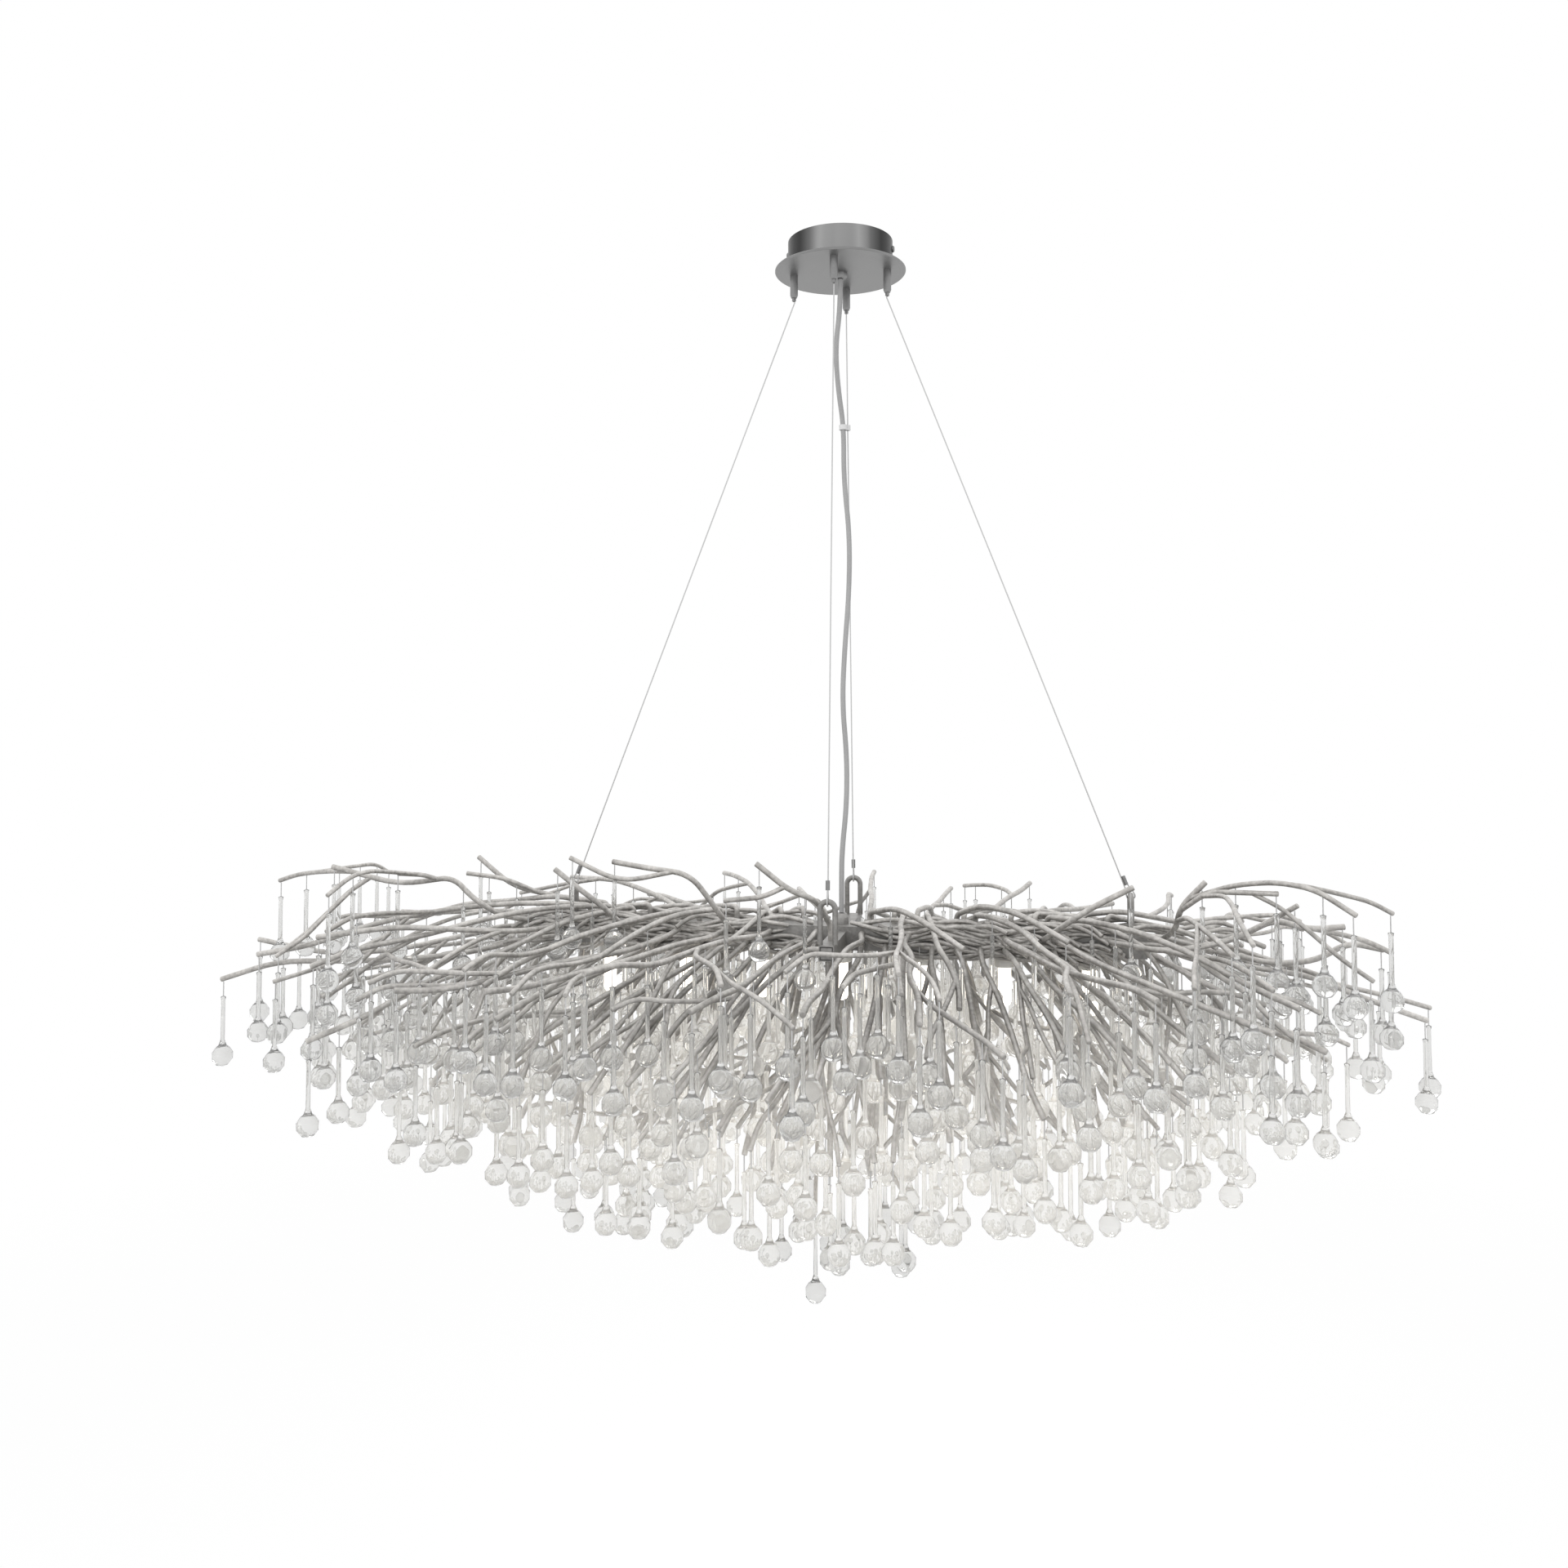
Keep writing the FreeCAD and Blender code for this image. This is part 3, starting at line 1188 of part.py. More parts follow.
def coped(rod, parent, starts):
    """A rod cut to the rod that it leaves, from a start just ahead of that rod's axis."""
    for ahead in starts:
        points = list(rod.points)
        points[0] = add(points[0], unit(less(points[1], points[0])), ahead)
        solid = rounded_bar(points, rod.radius).cut(parent)
        if len(solid.Solids) == 1 and solid.common(parent).Volume < 0.01:
            return solid
    raise ValueError("a rod could not be cut to the rod that it leaves")


def rod_solids(crown):
    """Every rod's solid, with its parent made before it."""
    solids, counts = {}, {}
    for rod in crown.rods:
        counts[rod.group] = counts.get(rod.group, 0) + 1
        starts = SEAM_STARTS if (rod.group, counts[rod.group]) == SEAM_TWIG else STARTS
        if rod.parent:
            solids[rod] = coped(rod, solids[rod.parent], starts)
        else:
            solids[rod] = rounded_bar(rod.points, rod.radius)
    return solids


def drop_shape():
    """A glass drop hanging from its knob's top at the origin."""
    ball, neck, knob = size("drop_dia") / 2, size("neck_dia") / 2, size("knob_dia") / 2
    flat, high, flare = size("knob_flat") / 2, size("knob_high"), size("flare_radius")
    middle = size("drop_length") - ball
    rise = math.sqrt((ball + flare) ** 2 - (neck + flare) ** 2)
    meet = ball / (ball + flare)
    touch = Vector(meet * (neck + flare), 0, meet * rise - middle)
    start = Vector(neck, 0, rise - middle)
    curve = Vector(neck + flare, 0, rise - middle)
    halfway = ((start - curve) + (touch - curve)).normalize() * flare + curve
    core = Vector(0, 0, -middle)
    low = Vector(0, 0, -size("drop_length"))
    belly = ((touch - core).normalize() + Vector(0.9, 0, -0.6)).normalize() * ball + core
    edge = [
        Part.LineSegment(Vector(0, 0, 0), Vector(flat, 0, 0)),
        Part.Arc(Vector(flat, 0, 0), Vector(knob, 0, -0.5 * high), Vector(neck, 0, -high)),
        Part.LineSegment(Vector(neck, 0, -high), start),
        Part.Arc(start, halfway, touch),
        Part.Arc(touch, belly, low),
        Part.LineSegment(low, Vector(0, 0, 0)),
    ]
    face = Part.Face(Part.Wire([part.toShape() for part in edge]))
    return face.revolve(Vector(0, 0, 0), Vector(0, 0, 1), 360)


def crown_nodes(crown):
    """Groups the rods, links and drops into nodes."""
    groups = {}
    for rod, solid in rod_solids(crown).items():
        groups.setdefault(rod.group, []).append(solid)
    drop, link, long = drop_shape(), size("link_dia") / 2, size("link_length")
    swing = 0
    for rod in crown.rods:
        if not rod.hung:
            continue
        top = Vector(*rod.hook())
        wire = Part.makeCylinder(link, long, top - Vector(0, 0, long))
        glass = drop.copy()
        glass.translate(top - Vector(0, 0, long))
        side = "front" if top.y < 0 else "back"
        hand = "left" if top.x < crown.middle else "right"
        names = (f"drops_{side}_{hand}", f"links_{side}")
        if getattr(rod, "name", None) in SWINGING:
            swing += 1
            names = (f"swing_drop_{swing}", f"swing_link_{swing}")
            print("swing", swing, rod.name, [round(c, 3) for c in top])
        groups.setdefault(names[0], []).append(glass)
        groups.setdefault(names[1], []).append(wire)
    for name in sorted(groups):
        feature(name, Part.Compound(groups[name]))


# Build

ceiling_bracket()
canopy_cup()
canopy_plate()
side_screws()
terminal_block()
cord_gland()
wire_grippers()
gripper_plungers()
spine()
cover_fixings()
crossbars()
cord_inlet()
inside_the_spine()
lamps()
hanging_loops()
suspension_wires()
power_cord()

crown = Crown()
fill_frame(crown)
placed_rods(crown)
side_arms(crown)
arching_arms(crown)
under_arms(crown)
grow_twigs(crown)
crown_nodes(crown)
doc.recompute()

# Check and write

for item in doc.Objects:
    if "Invalid" in item.State or "Error" in item.State:
        raise RuntimeError(f"{item.Label} did not build: {item.State}")

os.makedirs("parts", exist_ok=True)
for node in nodes:
    shape = node.Shape
    if shape.isNull() or not shape.isValid() or not shape.Solids:
        raise RuntimeError(f"{node.Label} has no valid solid")
    shape.exportStep(f"parts/{node.Label}.step")
    print("node", node.Label, "solids", len(shape.Solids), "volume", round(shape.Volume))
print("nodes", len(nodes), "drops", sum(rod.hung for rod in crown.rods))
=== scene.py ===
# %% [markdown]
# # A crystal chandelier, dressed in Blender
#
# The object is an oblong crown of bent nickel rods. It hangs from a round canopy on four steel
# wires, and clear glass drops hang from the rods, at their tips and along them. The construction
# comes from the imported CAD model, in metres and in the same frame, so a piece goes where the CAD
# says. Blender adds the smooth surfaces, the glass, the wire work, the finishes and the light.

import math

import bmesh
import bpy
import numpy as np
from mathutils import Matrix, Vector
from mathutils.bvhtree import BVHTree


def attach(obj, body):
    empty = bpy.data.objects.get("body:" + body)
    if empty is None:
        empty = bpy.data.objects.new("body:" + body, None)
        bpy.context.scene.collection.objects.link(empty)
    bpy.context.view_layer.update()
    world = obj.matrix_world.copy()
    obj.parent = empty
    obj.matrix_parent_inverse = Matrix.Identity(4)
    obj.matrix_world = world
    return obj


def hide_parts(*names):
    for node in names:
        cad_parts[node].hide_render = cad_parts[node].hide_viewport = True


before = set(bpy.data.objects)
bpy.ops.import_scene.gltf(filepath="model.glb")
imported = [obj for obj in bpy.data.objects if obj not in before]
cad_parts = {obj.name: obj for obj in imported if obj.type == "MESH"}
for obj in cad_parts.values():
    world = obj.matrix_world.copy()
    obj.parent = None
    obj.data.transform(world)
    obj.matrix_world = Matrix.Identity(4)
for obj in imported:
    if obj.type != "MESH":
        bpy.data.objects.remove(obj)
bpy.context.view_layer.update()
scene = bpy.context.scene

# %% [markdown]
# ## Camera
#
# The photograph was taken from between the canopy and the crown, a little to the right of the
# middle, with the camera nearly level. The horizon lies above the middle of the picture, which a
# small lens shift gives. The distance comes from how much wider the canopy's near side looks than
# its far side, and the slight upward tilt from how flat its plate looks.

# %% Camera
PICTURE, HORIZON, FOCAL = 1920, 891, 1566  # pixels of the photograph's frame
EYE = Vector((0.192, -1.437, -0.557))
TURNED = math.radians(2.56)  # how far the lens points to the left of the canopy's axis
TILT = math.radians(2.6)  # upwards

lens = bpy.data.cameras.new("photo_camera")
lens.sensor_width = 36
lens.lens = FOCAL / PICTURE * lens.sensor_width
lens.shift_y = (HORIZON - FOCAL * math.tan(TILT) - PICTURE / 2) / PICTURE
lens.clip_start = 0.01
camera = bpy.data.objects.new("photo_camera", lens)
camera.location = EYE
heading = math.atan2(-EYE.y, -EYE.x) + TURNED
camera.rotation_euler = (math.pi / 2 + TILT, 0, heading - math.pi / 2)
scene.collection.objects.link(camera)
scene.camera = camera
print("focal length in mm:", round(lens.lens, 2))

# %% [markdown]
# ## Writing materials as sums
#
# A finish is mostly arithmetic: this much of the noise, added to that base value. Wiring the same
# arithmetic by hand is slow to read, so a small class wraps a node's output and lets Python's own
# signs add the Math nodes. Every other node comes from one method.

# %% Material helpers


class Value:
    """A node's output. Arithmetic on it adds Math nodes."""

    def __init__(self, recipe, socket):
        self.recipe = recipe
        self.socket = socket

    def _maths(self, operation, first, second):
        return self.recipe.add("ShaderNodeMath", "Value", {0: first, 1: second},
                               operation=operation)

    def __add__(self, other):
        return self._maths("ADD", self, other)

    __radd__ = __add__

    def __sub__(self, other):
        return self._maths("SUBTRACT", self, other)

    def __rsub__(self, other):
        return self._maths("SUBTRACT", other, self)

    def __mul__(self, other):
        return self._maths("MULTIPLY", self, other)

    __rmul__ = __mul__

    def __pow__(self, other):
        return self._maths("POWER", self, other)


class Recipe:
    """The nodes of a material, or of the world, while they are being added."""

    def __init__(self, owner):
        self.owner = owner
        owner.use_nodes = True
        self.tree = owner.node_tree
        self.tree.nodes.clear()

    def add(self, kind, output, inputs=None, stops=None, **settings):
        """Adds a node, sets it up, fills its sockets and returns one of its outputs."""
        node = self.tree.nodes.new(kind)
        for name, value in settings.items():
            setattr(node, name, value)
        for n, (place, colour) in enumerate(stops or ()):
            element = node.color_ramp.elements[n] if n < 2 else node.color_ramp.elements.new(place)
            element.position = place
            element.color = colour
        for key, value in (inputs or {}).items():
            if isinstance(value, Value):
                self.tree.links.new(value.socket, node.inputs[key])
            else:
                node.inputs[key].default_value = value
        return Value(self, node.outputs[output])

    def place(self, scale=(1, 1, 1), shift=(0, 0, 0)):
        """Object coordinates, stretched and shifted."""
        here = self.add("ShaderNodeTexCoord", "Object")
        return self.add("ShaderNodeMapping", "Vector",
                        {"Vector": here, "Scale": scale, "Location": shift})

    def noise(self, where, scale, detail=2.0, roughness=0.5):
        """Noise from 0 to 1."""
        return self.add("ShaderNodeTexNoise", "Fac", {
            "Vector": where, "Scale": scale, "Detail": detail, "Roughness": roughness})

    def blend(self, share, one, other):
        """A colour between two, by a value."""
        return self.add("ShaderNodeMix", 2, {0: share, 6: (*one, 1), 7: (*other, 1)},
                        data_type="RGBA")

    def bump(self, height, strength, distance):
        """A surface that a height makes uneven."""
        return self.add("ShaderNodeBump", "Normal", {
            "Height": height, "Strength": strength, "Distance": distance})

    def near(self, height, reach, start, end):
        """1 inside an egg-shaped space round the hanging axis, falling to 0 outside it."""
        scale = [1 / half for half in reach]
        here = self.place(scale, (0, 0, -height * scale[2]))
        away = self.add("ShaderNodeVectorMath", "Value", {0: here}, operation="LENGTH")
        return self.add("ShaderNodeMapRange", "Result", {
            "Value": away, "From Min": start, "From Max": end, "To Min": 1.0, "To Max": 0.0})

    def end(self, shader, output="ShaderNodeOutputMaterial"):
        """Links a shader to the output and returns the material or the world."""
        out = self.tree.nodes.new(output)
        self.tree.links.new(shader.socket, out.inputs["Surface"])
        return self.owner

    def finish(self, **sockets):
        """Ends the material in a Principled shader."""
        inputs = {name.replace("_", " "): value for name, value in sockets.items()}
        return self.end(self.add("ShaderNodeBsdfPrincipled", "BSDF", inputs))


def new_recipe(name):
    return Recipe(bpy.data.materials.new(name))


# %% [markdown]
# ## Satin nickel rods
#
# The rods are bent steel bars, nickel plated and left satin. Close up the plating is a little
# uneven, with a faint cast grain. A broad noise gives patches of colour and polish, a finer one
# gives lumps that are both seen and felt, and the finest gives the grain. Light and shade are
# painted into the colour as well. The surface's own upward direction paints tops paler and
# undersides darker. A painted light makes the rods paler towards the low tips, where the lamps
# and the glass light them. A painted shade darkens them under the middle of the spine, where
# the rods crowd closest.

# %% Satin nickel
# painted light: heights between which the rods are painted paler towards the low tips
PAINTED_LIGHT_FROM, PAINTED_LIGHT_TO = -0.84, -0.98  # heights between which the rods turn paler
# painted shade: the space under the spine's middle, where the rods are painted darker
PAINTED_SHADE_HEIGHT, PAINTED_SHADE_REACH = -0.838, (0.28, 0.34, 0.048)  # the space under the spine's middle


def satin_nickel(name, dark, pale):
    recipe = new_recipe(name)
    here = recipe.place()
    patches = recipe.noise(here, 55, 3)
    lumps = recipe.noise(here, 260, 2)
    grain = recipe.noise(here, 1500, 2)
    # painted light and shade: the surface's upward direction makes tops paler and undersides darker
    facing = recipe.add("ShaderNodeNewGeometry", "Normal")
    rise = recipe.add("ShaderNodeSeparateXYZ", "Z", {"Vector": facing})
    level = recipe.add("ShaderNodeSeparateXYZ", "Z", {"Vector": here})
    # painted light: the rods turn paler towards the low tips, where the lamps and the glass light
    # them
    painted_low_light = recipe.add("ShaderNodeMapRange", "Result", {
        "Value": level, "From Min": PAINTED_LIGHT_FROM, "From Max": PAINTED_LIGHT_TO,
        "To Min": 0.0, "To Max": 0.42})
    # painted shade: the rods are darker under the middle of the spine, where they crowd closest
    painted_shade = 0.42 * recipe.near(PAINTED_SHADE_HEIGHT, PAINTED_SHADE_REACH, 0.5, 1.2)
    share = patches * 0.8 + lumps * 0.7 + rise * 0.35 + painted_low_light - painted_shade - 0.46
    return recipe.finish(
        Base_Color=recipe.blend(share, dark, pale),
        Metallic=0.70,
        Roughness=0.50 - 0.16 * patches + 0.10 * grain,
        Normal=recipe.bump(lumps + 0.25 * grain, 0.35, 0.0006),
    )


NICKEL = satin_nickel("satin_nickel", (0.27, 0.26, 0.247), (0.88, 0.855, 0.82))
# painted shade: the frame is a darker copy of the nickel, so the spine reads as the deep shade
# among the rods
FRAME_NICKEL_PAINTED_SHADE = satin_nickel("frame_nickel", (0.21, 0.205, 0.198), (0.50, 0.49, 0.475))
print("nodes in the nickel:", len(NICKEL.node_tree.nodes))

# %% [markdown]
# ## Turned and brushed metal
#
# The canopy is spun on a lathe and brushed while it turns, so its marks run round the axis: rings
# on the plate, level lines on the wall. Distance from the axis and height are the two numbers
# that stay the same along such a mark, so noise of those two alone draws the brushing.

# %% Brushed metal


def turned_metal(name, dark, pale, fineness=900.0):
    recipe = new_recipe(name)
    here = recipe.add("ShaderNodeTexCoord", "Object")
    flat = recipe.add("ShaderNodeVectorMath", "Vector", {0: here, 1: (1, 1, 0)},
                      operation="MULTIPLY")
    radius = recipe.add("ShaderNodeVectorMath", "Value", {0: flat}, operation="LENGTH")
    height = recipe.add("ShaderNodeSeparateXYZ", "Z", {"Vector": here})
    across = recipe.add("ShaderNodeCombineXYZ", "Vector", {"X": radius, "Y": height})
    marks = recipe.noise(across, fineness, 4, 0.65)
    clouds = recipe.noise(here, 14, 2)
    return recipe.finish(
        Base_Color=recipe.blend(0.75 * marks + 0.35 * clouds - 0.05, dark, pale),
        Metallic=0.9,
        Roughness=0.30 + 0.14 * marks + 0.06 * clouds,
        Normal=recipe.bump(marks, 0.22, 0.0002),
    )


BRUSHED = turned_metal("brushed_canopy", (0.20, 0.20, 0.20), (0.34, 0.34, 0.34))
PLATED = turned_metal("plated_fittings", (0.20, 0.20, 0.20), (0.36, 0.36, 0.36), 1600.0)
STEEL_WIRE = turned_metal("steel_wire", (0.50, 0.50, 0.50), (0.72, 0.72, 0.72), 2500.0)
print("turned metals:", [metal.name for metal in (BRUSHED, PLATED, STEEL_WIRE)])

# %% [markdown]
# The canopy's wall is brushed level, so it mirrors a fan of the room from side to side. That
# reflection is painted into its colour: the middle is painted as the pale room, with soft upright
# streaks, and the two sides are painted dark where the brushed wall is seen at a flat angle.
# Layer Weight's Facing gives that turn, a ramp its steps.

# %% Wall of the canopy


def brushed_wall():
    recipe = new_recipe("brushed_wall")
    painted_reflection_streaks = recipe.noise(recipe.place((34, 34, 0)), 1.0, 2)
    marks = recipe.noise(recipe.place((6, 6, 1800)), 1.0, 3, 0.7)
    flat = recipe.add("ShaderNodeLayerWeight", "Facing", {"Blend": 0.5})
    # painted reflection: the pale room in the middle, dark where the wall is seen at a flat angle
    turn = flat + 0.16 * painted_reflection_streaks - 0.08
    painted_reflection = recipe.add("ShaderNodeValToRGB", "Color", {"Fac": turn}, stops=[
        (0.0, (0.21, 0.21, 0.21, 1)), (0.12, (0.36, 0.36, 0.36, 1)),
        (0.24, (0.15, 0.15, 0.15, 1)), (0.42, (0.040, 0.040, 0.040, 1)),
        (0.9, (0.028, 0.028, 0.028, 1))])
    return recipe.finish(
        Base_Color=painted_reflection,
        Metallic=0.92,
        Roughness=0.28 + 0.14 * marks,
        Normal=recipe.bump(marks, 0.2, 0.0002),
    )


BRUSHED_WALL_PAINTED_REFLECTION = brushed_wall()
print("nodes in the brushed wall:", len(BRUSHED_WALL_PAINTED_REFLECTION.node_tree.nodes))

# %% [markdown]
# ## Glass
#
# The drops are drawn by hand from clear glass, so their skin is very slightly wavy and the glass
# a little cloudy. Most of what shows is what it bends: the white room, the dark rods behind it and
# the warm lamps. A drop's rim is painted grey: Layer Weight darkens the colour towards the rim as
# a painted shade, and a small share that passes no light gives the cloudiness.
# Drops near the lamps pass light on from one to the next, which takes very many rays to work out,
# so a faint glow that fades with the distance from the lamps stands in for it.

# %% Clear glass
LIT_HEIGHT, LIT_REACH = -0.965, (0.62, 0.30, 0.155)  # the space that the lamps fill with light


def clear_glass(name, middle, painted_rim_shade, glow):
    recipe = new_recipe(name)
    waves = recipe.noise(recipe.place(), 60, 1)
    facing = recipe.add("ShaderNodeLayerWeight", "Facing", {"Blend": 0.5})
    lit = recipe.near(LIT_HEIGHT, LIT_REACH, 0.30, 1.15)
    return recipe.finish(
        # painted shade: the colour turns grey towards the rim
        Base_Color=recipe.blend(facing**2.6, middle, painted_rim_shade),
        Roughness=0.02 + 0.06 * waves,
        IOR=1.46,
        Transmission_Weight=0.88,
        Emission_Color=recipe.blend(lit, (0, 0, 0), glow),
        Emission_Strength=1.0,
        Normal=recipe.bump(waves, 0.10, 0.002),
    )


GLASS = clear_glass("clear_glass", (0.80, 0.80, 0.79), (0.38, 0.38, 0.38), (0.15, 0.142, 0.129))
print("nodes in the glass:", len(GLASS.node_tree.nodes))

# %% [markdown]
# ## Plastics, ceramic and lamps
#
# The cord has a soft grey sleeve with a fine even grain. The lamp holders are unglazed ceramic,
# and the lamps are frosted capsules that glow a warm white. Moulded skins all look alike up close,
# clouds of tone under a fine grain, so one function makes them all from their own colours.

# %% Plastics and ceramic


def moulded(name, dark, pale, roughness, scale=400.0, depth=0.0002):
    recipe = new_recipe(name)
    here = recipe.place()
    skin = recipe.noise(here, scale, 3)
    clouds = recipe.noise(here, 30, 2)
    return recipe.finish(
        Base_Color=recipe.blend(0.6 * clouds + 0.4 * skin, dark, pale),
        Roughness=roughness + 0.1 * skin,
        Normal=recipe.bump(skin, 0.2, depth),
    )


CORD_GREY = moulded("cord_sleeve", (0.27, 0.27, 0.27), (0.38, 0.38, 0.38), 0.42, 900.0)
WHITE_PLASTIC = moulded("white_plastic", (0.72, 0.72, 0.70), (0.82, 0.82, 0.80), 0.45)
PALE_CLIP = moulded("pale_clip", (0.55, 0.55, 0.55), (0.68, 0.68, 0.68), 0.3)
CERAMIC = moulded("lamp_ceramic", (0.70, 0.69, 0.66), (0.84, 0.83, 0.80), 0.62, 700.0, 0.0004)
LEADS = moulded("lead_sleeve", (0.10, 0.10, 0.11), (0.16, 0.16, 0.17), 0.5)


def lit_glass(name, colour, strength):
    recipe = new_recipe(name)
    here = recipe.place()
    frost = recipe.noise(here, 500, 2)
    return recipe.finish(
        Base_Color=recipe.blend(frost, (0.86, 0.83, 0.76), (0.95, 0.93, 0.88)),
        Roughness=0.35 + 0.2 * frost,
        Emission_Color=colour,
        Emission_Strength=strength,
    )


LAMP_GLOW = lit_glass("lamp_glow", (1.0, 0.92, 0.80, 1), 3.0)
print("finishes so far:", len(bpy.data.materials))

# %% [markdown]
# ## Cords
#
# Five flexible pieces hang between the canopy and the crown: the grey power cord, which leans
# back to a clip on the rear wire and then comes down in slack waves, and four thin steel wires,
# each straight to its eye. A smooth spline along few points lies as such a cord does. The
# points are the ones that the CAD route uses.

# %% A cord on a spline


def spline_piece(name, points, diameter, material):
    """A round cord on one smooth open spline."""
    curve = bpy.data.curves.new(name, "CURVE")
    curve.dimensions = "3D"
    spline = curve.splines.new("NURBS")
    spline.points.add(len(points) - 1)
    for point, place in zip(spline.points, points):
        point.co = (*place, 1)
    spline.order_u = 3
    spline.use_endpoint_u = True
    spline.resolution_u = 10
    curve.bevel_depth = diameter / 2
    curve.bevel_resolution = 3
    curve.use_fill_caps = True
    curve.materials.append(material)
    piece = bpy.data.objects.new(name, curve)
    scene.collection.objects.link(piece)
    return piece


# %% The power cord
CORD_ROUTE = [
    (0, 0, -0.0424), (0, 0, -0.0744), (-0.008, 0.014, -0.1174), (-0.009, 0.046, -0.1574),
    (-0.0046, 0.063, -0.1994), (-0.005, 0.064, -0.2614), (0.003, 0.056, -0.3294),
    (0.004, 0.042, -0.3994), (0, 0.030, -0.4674), (-0.002, 0.024, -0.5294),
    (0.003, 0.026, -0.5894), (0.004, 0.016, -0.6444), (0, 0.003, -0.6974), (0, 0, -0.7344),
    (0, 0.0004, -0.7641),
]
flex = spline_piece("power_flex", CORD_ROUTE, 0.006, CORD_GREY)
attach(flex, "cord")
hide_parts("power_cord")
print("points on the power cord:", len(CORD_ROUTE))

# %% [markdown]
# Each wire runs in an upright plane from its gripper to a loop on the frame. Its lower end is an
# eye that lies round the loop's bar, and a crimped sleeve closes the eye. The wire is a straight
# line with the eye's few points at its end, so the same function serves all four.

# %% The four wires
WIRE_TOP, LOOP_BAR = -0.0656, -0.738  # heights of the wires' ends
ANCHOR, LONG_HANG, CROSS_HANG = 0.054, 0.315, 0.110  # distances from the hanging axis
WIRE, EYE_REACH = 0.0015, 0.00435  # thickness, and half the width of the eye
ASIDE = 0.001  # half the distance between the two strands in the sleeve
# the eye, as steps across and up the wire's own line, from the middle of the loop's bar
EYE_ROUTE = [(-ASIDE, 0.01135), (-EYE_REACH, 0.0025), (-EYE_REACH, -EYE_REACH),
             (EYE_REACH, -EYE_REACH), (EYE_REACH, 0.0025), (ASIDE, 0.01135), (ASIDE, 0.01835)]


def wire_route(way, reach):
    """A wire from its gripper to its eye, in the upright plane of a direction."""
    top = ANCHOR * way + Vector((0, 0, WIRE_TOP))
    bar = reach * way + Vector((0, 0, LOOP_BAR))
    up = (top - bar).normalized()
    out = (way - way.dot(up) * up).normalized()
    return [top - ASIDE * out] + [bar + u * out + v * up for u, v in EYE_ROUTE]


# for each wire its direction, its loop's distance and its length
WIRES = {"left": ((-1, 0, 0), LONG_HANG, 0.755), "right": ((1, 0, 0), LONG_HANG, 0.755),
         "front": ((0, -1, 0), CROSS_HANG, 0.7085), "back": ((0, 1, 0), CROSS_HANG, 0.7085)}
for side, (way, reach, length) in WIRES.items():
    route = wire_route(Vector(way), reach)
    wire = spline_piece("steel_wire_" + side, route, WIRE, STEEL_WIRE)
    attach(wire, "wire_" + side)
    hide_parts("suspension_wire_" + side)
print("cords:", 1 + len(WIRES))

# %% [markdown]
# ## Smooth copies of the CAD pieces
#
# The CAD pieces arrive as loose triangles, which a glossy metal shows as facets. A copy whose
# doubled corners are merged can be shaded smooth up to a chosen angle, so round walls look round
# and real edges stay crisp. The copy stands for the CAD piece, which stays behind it, hidden.

# %% Smooth copies
MERGE = 2e-6  # corners closer than this are one


def smooth_copy(node, body, material, angle=40):
    """A smooth copy of a CAD node that stands for it; edges over the angle stay sharp."""
    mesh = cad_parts[node].data.copy()
    mesh.name = node + "_smooth"
    if "custom_normal" in mesh.attributes:
        mesh.attributes.remove(mesh.attributes["custom_normal"])
    work = bmesh.new()
    work.from_mesh(mesh)
    bmesh.ops.remove_doubles(work, verts=work.verts, dist=MERGE)
    work.to_mesh(mesh)
    work.free()
    mesh.materials.clear()
    mesh.materials.append(material)
    mesh.shade_smooth()
    mesh.set_sharp_from_angle(angle=math.radians(angle))
    piece = bpy.data.objects.new(mesh.name, mesh)
    scene.collection.objects.link(piece)
    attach(piece, body)
    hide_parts(node)
    return piece


# %% Copy the rods, the frame and the canopy
RODS = ["crown_rods", "upper_arms", "arching_arms", "lower_arms", "under_arms",
        "twigs_front_left", "twigs_front_right", "twigs_back_left", "twigs_back_right"]
for node in RODS:
    piece = smooth_copy(node, "crown", NICKEL, 55)
    print(piece.name, len(piece.data.polygons), "faces")

FRAME_PARTS = ["spine_channel", "spine_cover", "spine_end_caps", "crossbars", "cord_inlet",
               "hanging_loops_long", "hanging_loops_cross"]
for node in FRAME_PARTS:
    smooth_copy(node, "crown", FRAME_NICKEL_PAINTED_SHADE)

CANOPY_PARTS = [("canopy_cup", "satin_canopy", BRUSHED_WALL_PAINTED_REFLECTION),
                ("canopy_plate", "satin_canopy", BRUSHED),
                ("cord_gland", "satin_canopy", BRUSHED), ("side_screws", "plated_steel", PLATED),
                ("wire_grippers", "plated_steel", PLATED)]
for node, slot, material in CANOPY_PARTS:
    smooth_copy(node, "canopy", material)

# %% [markdown]
# The crossbar is a square tube, and its two open ends would show as black holes. On the real
# piece they are closed, so a thin rounded plug sits in each. A cube with bevelled edges is all
# that such a plug needs.

# %% Plugs in the crossbar
TUBE_END, TUBE_MIDDLE = 0.120, -0.790  # distance from the hanging axis, and height
PLUG, PLUG_THICK, PLUG_ROUND = 0.0146, 0.0016, 0.0005
work = bmesh.new()
for way in (-1, 1):
    made = bmesh.ops.create_cube(work, size=1.0)
    bmesh.ops.scale(work, vec=(PLUG, PLUG_THICK, PLUG), verts=made["verts"])
    place = (0, way * (TUBE_END - PLUG_THICK / 2), TUBE_MIDDLE)
    bmesh.ops.translate(work, vec=place, verts=made["verts"])
bmesh.ops.bevel(work, geom=work.edges[:], offset=PLUG_ROUND, segments=2, affect="EDGES")
mesh = bpy.data.meshes.new("crossbar_plugs")
work.to_mesh(mesh)
work.free()
mesh.materials.append(FRAME_NICKEL_PAINTED_SHADE)
